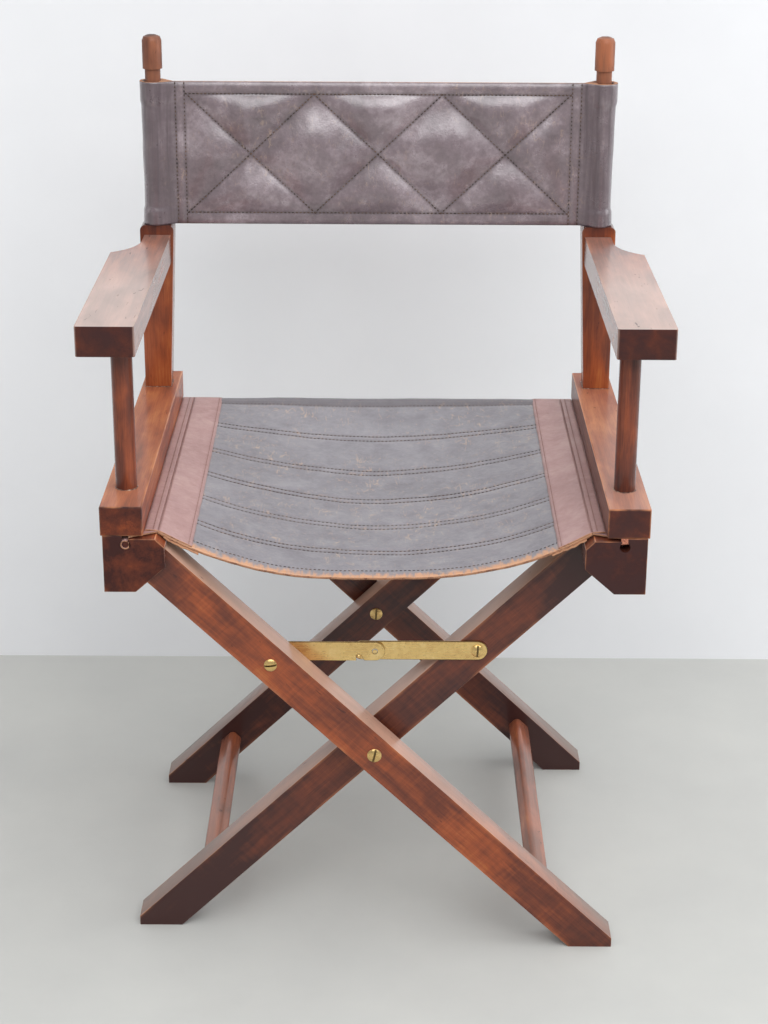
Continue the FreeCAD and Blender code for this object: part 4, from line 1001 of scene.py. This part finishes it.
TOP_HEM, LOW_HEM, HEM_STEP, HEM_THICK, WRINKLE = 0.024, 0.018, 0.001, 0.0013, 0.0010
PUCKER, SMALL_PUCKER = 0.22, 0.10
PANEL_COLUMNS, SLEEVE_COLUMNS, BACK_ROWS = 175, 34, 84

back_lines = []
for up in (1, -1):
    turns = [(step * QUILT_PITCH, BACK_MIDDLE + QUILT_HALF * up * height)
             for step, height in ((-3, 1), (-1, -1), (1, 1), (3, -1))]
    back_lines += zip(turns[:-1], turns[1:])
for up in (1, -1):
    back_lines.append(((-QUILT_END, BACK_MIDDLE + QUILT_HALF * up), (QUILT_END, BACK_MIDDLE + QUILT_HALF * up)))
for hand, place in itertools.product(HANDS.values(), BACK_SEAMS):
    back_lines.append(((hand * place, BACK_LOW + SEAM_SHORT), (hand * place, BACK_HIGH - SEAM_SHORT)))


def from_line(x, z, start, end):
    """Distance of points from a straight line between two (x, z) places."""
    run = np.subtract(end, start)
    share = np.clip(((x - start[0]) * run[0] + (z - start[1]) * run[1]) / (run @ run), 0, 1)
    return np.hypot(x - start[0] - share * run[0], z - start[1] - share * run[1])


def puffed(x, z):
    """How far the padding stands out from the sewn lines, and how near the next line is."""
    away = np.array([from_line(x, z, *line) for line in back_lines])
    within = (np.abs(x) < QUILT_END) & (np.abs(z - BACK_MIDDLE) < QUILT_HALF)
    pillow = PUFF * np.prod(1 - np.exp(-away / PUFF_RUN), axis=0)
    margin = MARGIN * np.prod(1 - np.exp(-away / MARGIN_RUN), axis=0)
    return np.where(within, pillow, margin), away.min(0)


def round_rod(radius):
    """A layer of the right sleeve seen from above, round its rod from the front to the rear."""
    angles = np.radians(np.linspace(*SLEEVE_ARC, SLEEVE_COLUMNS))
    return [(ROD_X + radius * math.cos(angle), ROD_Y + radius * math.sin(angle)) for angle in angles]


panel_x = np.linspace(-SLEEVE_SEAM, SLEEVE_SEAM, PANEL_COLUMNS)
sleeve = round_rod(SLEEVE_ROUND)
ring = ([(x, FRONT_SKIN) for x in panel_x] + sleeve + [(x, REAR_SKIN) for x in panel_x[::-1]]
        + [(-x, y) for x, y in sleeve[::-1]])
front = slice(0, PANEL_COLUMNS)
rear = slice(PANEL_COLUMNS + SLEEVE_COLUMNS, 2 * PANEL_COLUMNS + SLEEVE_COLUMNS)
back_z = np.linspace(BACK_LOW, BACK_HIGH, BACK_ROWS)
band = np.array([[(x, y, z) for x, y in ring] for z in back_z])
x, y, z = np.moveaxis(band, 2, 0)
rise, near_seam = puffed(x[:, front], z[:, front])
y[:, front] -= rise * (1 + PUCKER * waves(x[:, front], z[:, front], 24.0, 3.0)
                       + SMALL_PUCKER * waves(x[:, front], 0.5 * z[:, front], 75.0, 6.0))
y[:, rear] += REAR_PUFF * puffed(x[:, rear], z[:, rear])[0]
rolled = ROLL * np.clip(1 - np.minimum(BACK_HIGH - z, z - BACK_LOW) / ROLL_RUN, 0, 1) ** 2
y[:, front] += rolled[:, front]
y[:, rear] -= 0.5 * rolled[:, rear]
on_sleeve = np.clip((np.abs(x) - SLEEVE_SEAM) / SLEEVE_RUN, 0, 1)
hem = (1 / (1 + np.exp((BACK_HIGH - TOP_HEM - z) / HEM_STEP))
       + 1 / (1 + np.exp((z - BACK_LOW - LOW_HEM) / HEM_STEP)))
wrinkle = waves(x * 2.0 + y, z, 26.0, 9.0)
outward = np.stack([x - np.sign(x) * ROD_X, y - ROD_Y], axis=-1)
outward /= np.linalg.norm(outward, axis=-1, keepdims=True)
band[:, :, :2] += (on_sleeve * (HEM_THICK * hem + WRINKLE * wrinkle))[:, :, None] * outward

BACK_COLOURS = ((0.056, 0.034, 0.039), (0.176, 0.128, 0.143), (0.390, 0.322, 0.345))
back_leather, back_shader = leather("back_leather", BACK_COLOURS, (0.045, 0.027, 0.031), rough=0.30,
                                    clouded=0.80, scratch=0.24, dust=0.02, wax=1.0)
back_at = place_on(back_shader)
# the sleeves are darkened: partly deeper-toned leather, partly painted shade where they curve round the rods,
# with paler upright streaks that are painted highlights
sleeve_highlight_streaks = speckle(back_at, (170.0, 170.0, 9.0), 3.0, 0.6, 0.4)
sleeve_shade = between(amount(axes(back_at)["X"]), SLEEVE_SEAM - 0.004, SLEEVE_SEAM + 0.003)
tinted(back_shader, times(sleeve_shade, between(sleeve_highlight_streaks, 0.32, 0.68, 0.35, 1.0)), (0.066, 0.038, 0.048))
LINING_COLOURS = ((0.13, 0.072, 0.058), (0.22, 0.13, 0.11), (0.31, 0.195, 0.17))
lining = leather("back_lining", LINING_COLOURS, (0.065, 0.04, 0.033), rough=0.5)[0]
LINED, CUT = 1, 2

shape = bmesh.new()
seam_layer = shape.verts.layers.float.new("seam")
rows = [[shape.verts.new(point) for point in row] for row in band]
for row, values in zip(rows, near_seam):
    for i, vert in enumerate(row):
        vert[seam_layer] = values[i] if i < PANEL_COLUMNS else 1.0


def walled(rows, lined, inward):
    """Smooth faces all round between rows of points; the columns in `lined` show the lining."""
    for low, high in zip(rows[:-1], rows[1:]):
        for i in range(len(low)):
            j = (i + 1) % len(low)
            corners = (low[i], low[j], high[j], high[i])
            face = shape.faces.new(corners[:1] + corners[:0:-1] if inward else corners)
            face.smooth = True
            face.material_index = LINED if i in lined else 0


walled(rows, range(rear.start, rear.stop), inward=False)
holes = {}
for hand in (1, -1):
    holes[hand] = [[shape.verts.new((hand * x, y, z)) for x, y in round_rod(SLEEVE_ROUND - SLEEVE_WALL)]
                   for z in back_z]
    walled(holes[hand], range(SLEEVE_COLUMNS), inward=True)
for end in (0, -1):
    row = rows[end]
    across = row[rear][::-1]
    cuts = [(row[i], row[i + 1], across[i + 1], across[i]) for i in range(PANEL_COLUMNS - 1)]
    for hand, hole in holes.items():
        inner = hole[end]
        if hand > 0:
            outer, near, far = row[PANEL_COLUMNS:rear.start], row[PANEL_COLUMNS - 1], row[rear.start]
        else:
            outer, near, far = row[rear.stop:][::-1], row[0], row[rear.stop - 1]
        cuts += [(outer[i], outer[i + 1], inner[i + 1], inner[i]) for i in range(SLEEVE_COLUMNS - 1)]
        cuts += [(near, outer[0], inner[0]), (near, inner[0], inner[-1], far), (far, inner[-1], outer[-1])]
    for corners in cuts:
        shape.faces.new(corners).material_index = CUT
bmesh.ops.recalc_face_normals(shape, faces=shape.faces)
back_mesh = bpy.data.meshes.new("back_leather")
shape.to_mesh(back_mesh)
shape.free()
back = new_object("back_leather", back_mesh, back_leather, lining, cut_edge)
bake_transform(back)
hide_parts("back_panel_left", "back_panel_right", "back_sleeve_left", "back_sleeve_right")

LINE_POINTS = 120
BACK_THREAD = 0.0015


def on_back(start, end, rearward):
    """A sewn line on the front or rear of the back, between two (x, z) places."""
    x, z = np.linspace(start, end, LINE_POINTS).T
    rise = puffed(x, z)[0]
    y = REAR_SKIN + REAR_PUFF * rise + 2 * SINK if rearward else FRONT_SKIN - rise - 2 * SINK
    return np.stack([x, y, z], axis=-1)


back_rows = [on_back(*line, rearward) for line in back_lines for rearward in (False, True)]
back_stitches = sewn("back_stitches", back_rows, dark_thread, BACK_THREAD)
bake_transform(back_stitches)


# Stage: a pale grey floor and a white wall close behind the chair, under a broad soft light from above
# and softer light from the front, with the camera where the photograph was taken.
def flat(name, corner, along, up, material):
    """A plain surface of the room, from one corner and two sides."""
    corner, along, up = Vector(corner), Vector(along), Vector(up)
    mesh = bpy.data.meshes.new(name)
    mesh.from_pydata([corner, corner + along, corner + along + up, corner + up], [], [(0, 1, 2, 3)])
    new_object(name, mesh, material)


FLOOR, WALL_WIDE, WALL_HIGH, WALL_Y = 18, 8, 3.2, 0.522
floor_paint = speckled("floor_paint", 0.6, 5.0, 5.0, 0.6, [
    (0.3, (0.475, 0.476, 0.456)), (0.7, (0.520, 0.520, 0.494))])[0]
wall_paint, wall_shader, _ = speckled("wall_paint", 0.8, 3.0, 5.0, 0.6, [
    (0.3, (0.79, 0.798, 0.816)), (0.7, (0.835, 0.843, 0.86))])
flat("floor", (-FLOOR / 2, -FLOOR / 2, 0), (FLOOR, 0, 0), (0, FLOOR, 0), floor_paint)
flat("wall", (-WALL_WIDE / 2, WALL_Y, 0), (WALL_WIDE, 0, 0), (0, 0, WALL_HIGH), wall_paint)

# seen from behind, the wall is clear
wall_tree = wall_paint.node_tree
behind = node(wall_tree, "NewGeometry").outputs["Backfacing"]
clear = node(wall_tree, "BsdfTransparent")
through = node(wall_tree, "MixShader", {0: behind, 1: wall_shader, 2: clear})
wall_tree.links.new(through.outputs["Shader"], wall_tree.nodes["Material Output"].inputs["Surface"])

ROOM_WHITE, ROOM_GREY = (0.84, 0.85, 0.87), (0.45, 0.455, 0.465)
world = bpy.data.worlds.new("studio")
scene.world = world
world.use_nodes = True
sky = world.node_tree
rays = node(sky, "LightPath").outputs
toward = axes(node(sky, "TexCoord").outputs["Generated"])
glow = ramp(toward["Z"], [(0.0, (0.76, 0.77, 0.78)), (0.35, (0.76, 0.77, 0.79)), (1.0, (1.06, 1.08, 1.10))])
glow = mix(between(toward["X"], -0.9, 0.3, 0.60, 1.0), (0, 0, 0), glow)
mirrored = sum_of(rays["Is Glossy Ray"], rays["Is Transmission Ray"], "MAXIMUM")
room = mix(between(toward["Y"], -0.8, 0.2), ROOM_GREY, ROOM_WHITE)
sky_colour = mix(rays["Is Camera Ray"], mix(mirrored, glow, room), ROOM_WHITE)
sky.links.new(sky_colour, sky.nodes["Background"].inputs["Color"])

# broad lamps: where each hangs, what it looks at, its size, power and colour
LAMPS = [
    ("ceiling_lamp", (0.7, -1.2, 3.0), (0.5, -1.0, 0.4), (6.5, 4.0), 40, (1.0, 0.98, 0.95)),
    ("front_window", (0.5, -2.3, 2.6), (0, 0, 0.6), (3.4, 1.8), 50, (0.97, 0.98, 1.0)),
    ("side_window", (2.4, -0.2, 1.5), (0, 0, 0.5), (1.6, 2.0), 20, (0.95, 0.98, 1.0)),
    ("side_door", (-2.6, -0.6, 1.3), (0, 0.3, 0.5), (1.2, 2.0), 5, (1.0, 0.98, 0.95)),
]
for name, place, target, size, power, colour in LAMPS:
    lamp = bpy.data.lights.new(name, "AREA")
    lamp.shape = "RECTANGLE"
    lamp.size, lamp.size_y = size
    lamp.energy, lamp.color = power, colour
    item = new_object(name, lamp)
    item.location = place
    item.rotation_euler = (Vector(target) - Vector(place)).to_track_quat("-Z", "Y").to_euler()

PHOTO_HIGH = 1024
FOCAL_PIXELS = 2117.2
CAMERA_AT = (0.0088, -2.2076, 1.2741)
TILT, LEAN = math.radians(21.1), math.radians(0.3)
camera = bpy.data.cameras.new("camera")
camera.sensor_width = 36.0
camera.lens = FOCAL_PIXELS * camera.sensor_width / PHOTO_HIGH
scene.camera = new_object("camera", camera)
scene.camera.matrix_world = (Matrix.Translation(CAMERA_AT) @ Matrix.Rotation(math.radians(90) - TILT, 4, "X")
                             @ Matrix.Rotation(LEAN, 4, "Z"))
scene.view_settings.view_transform = "Standard"
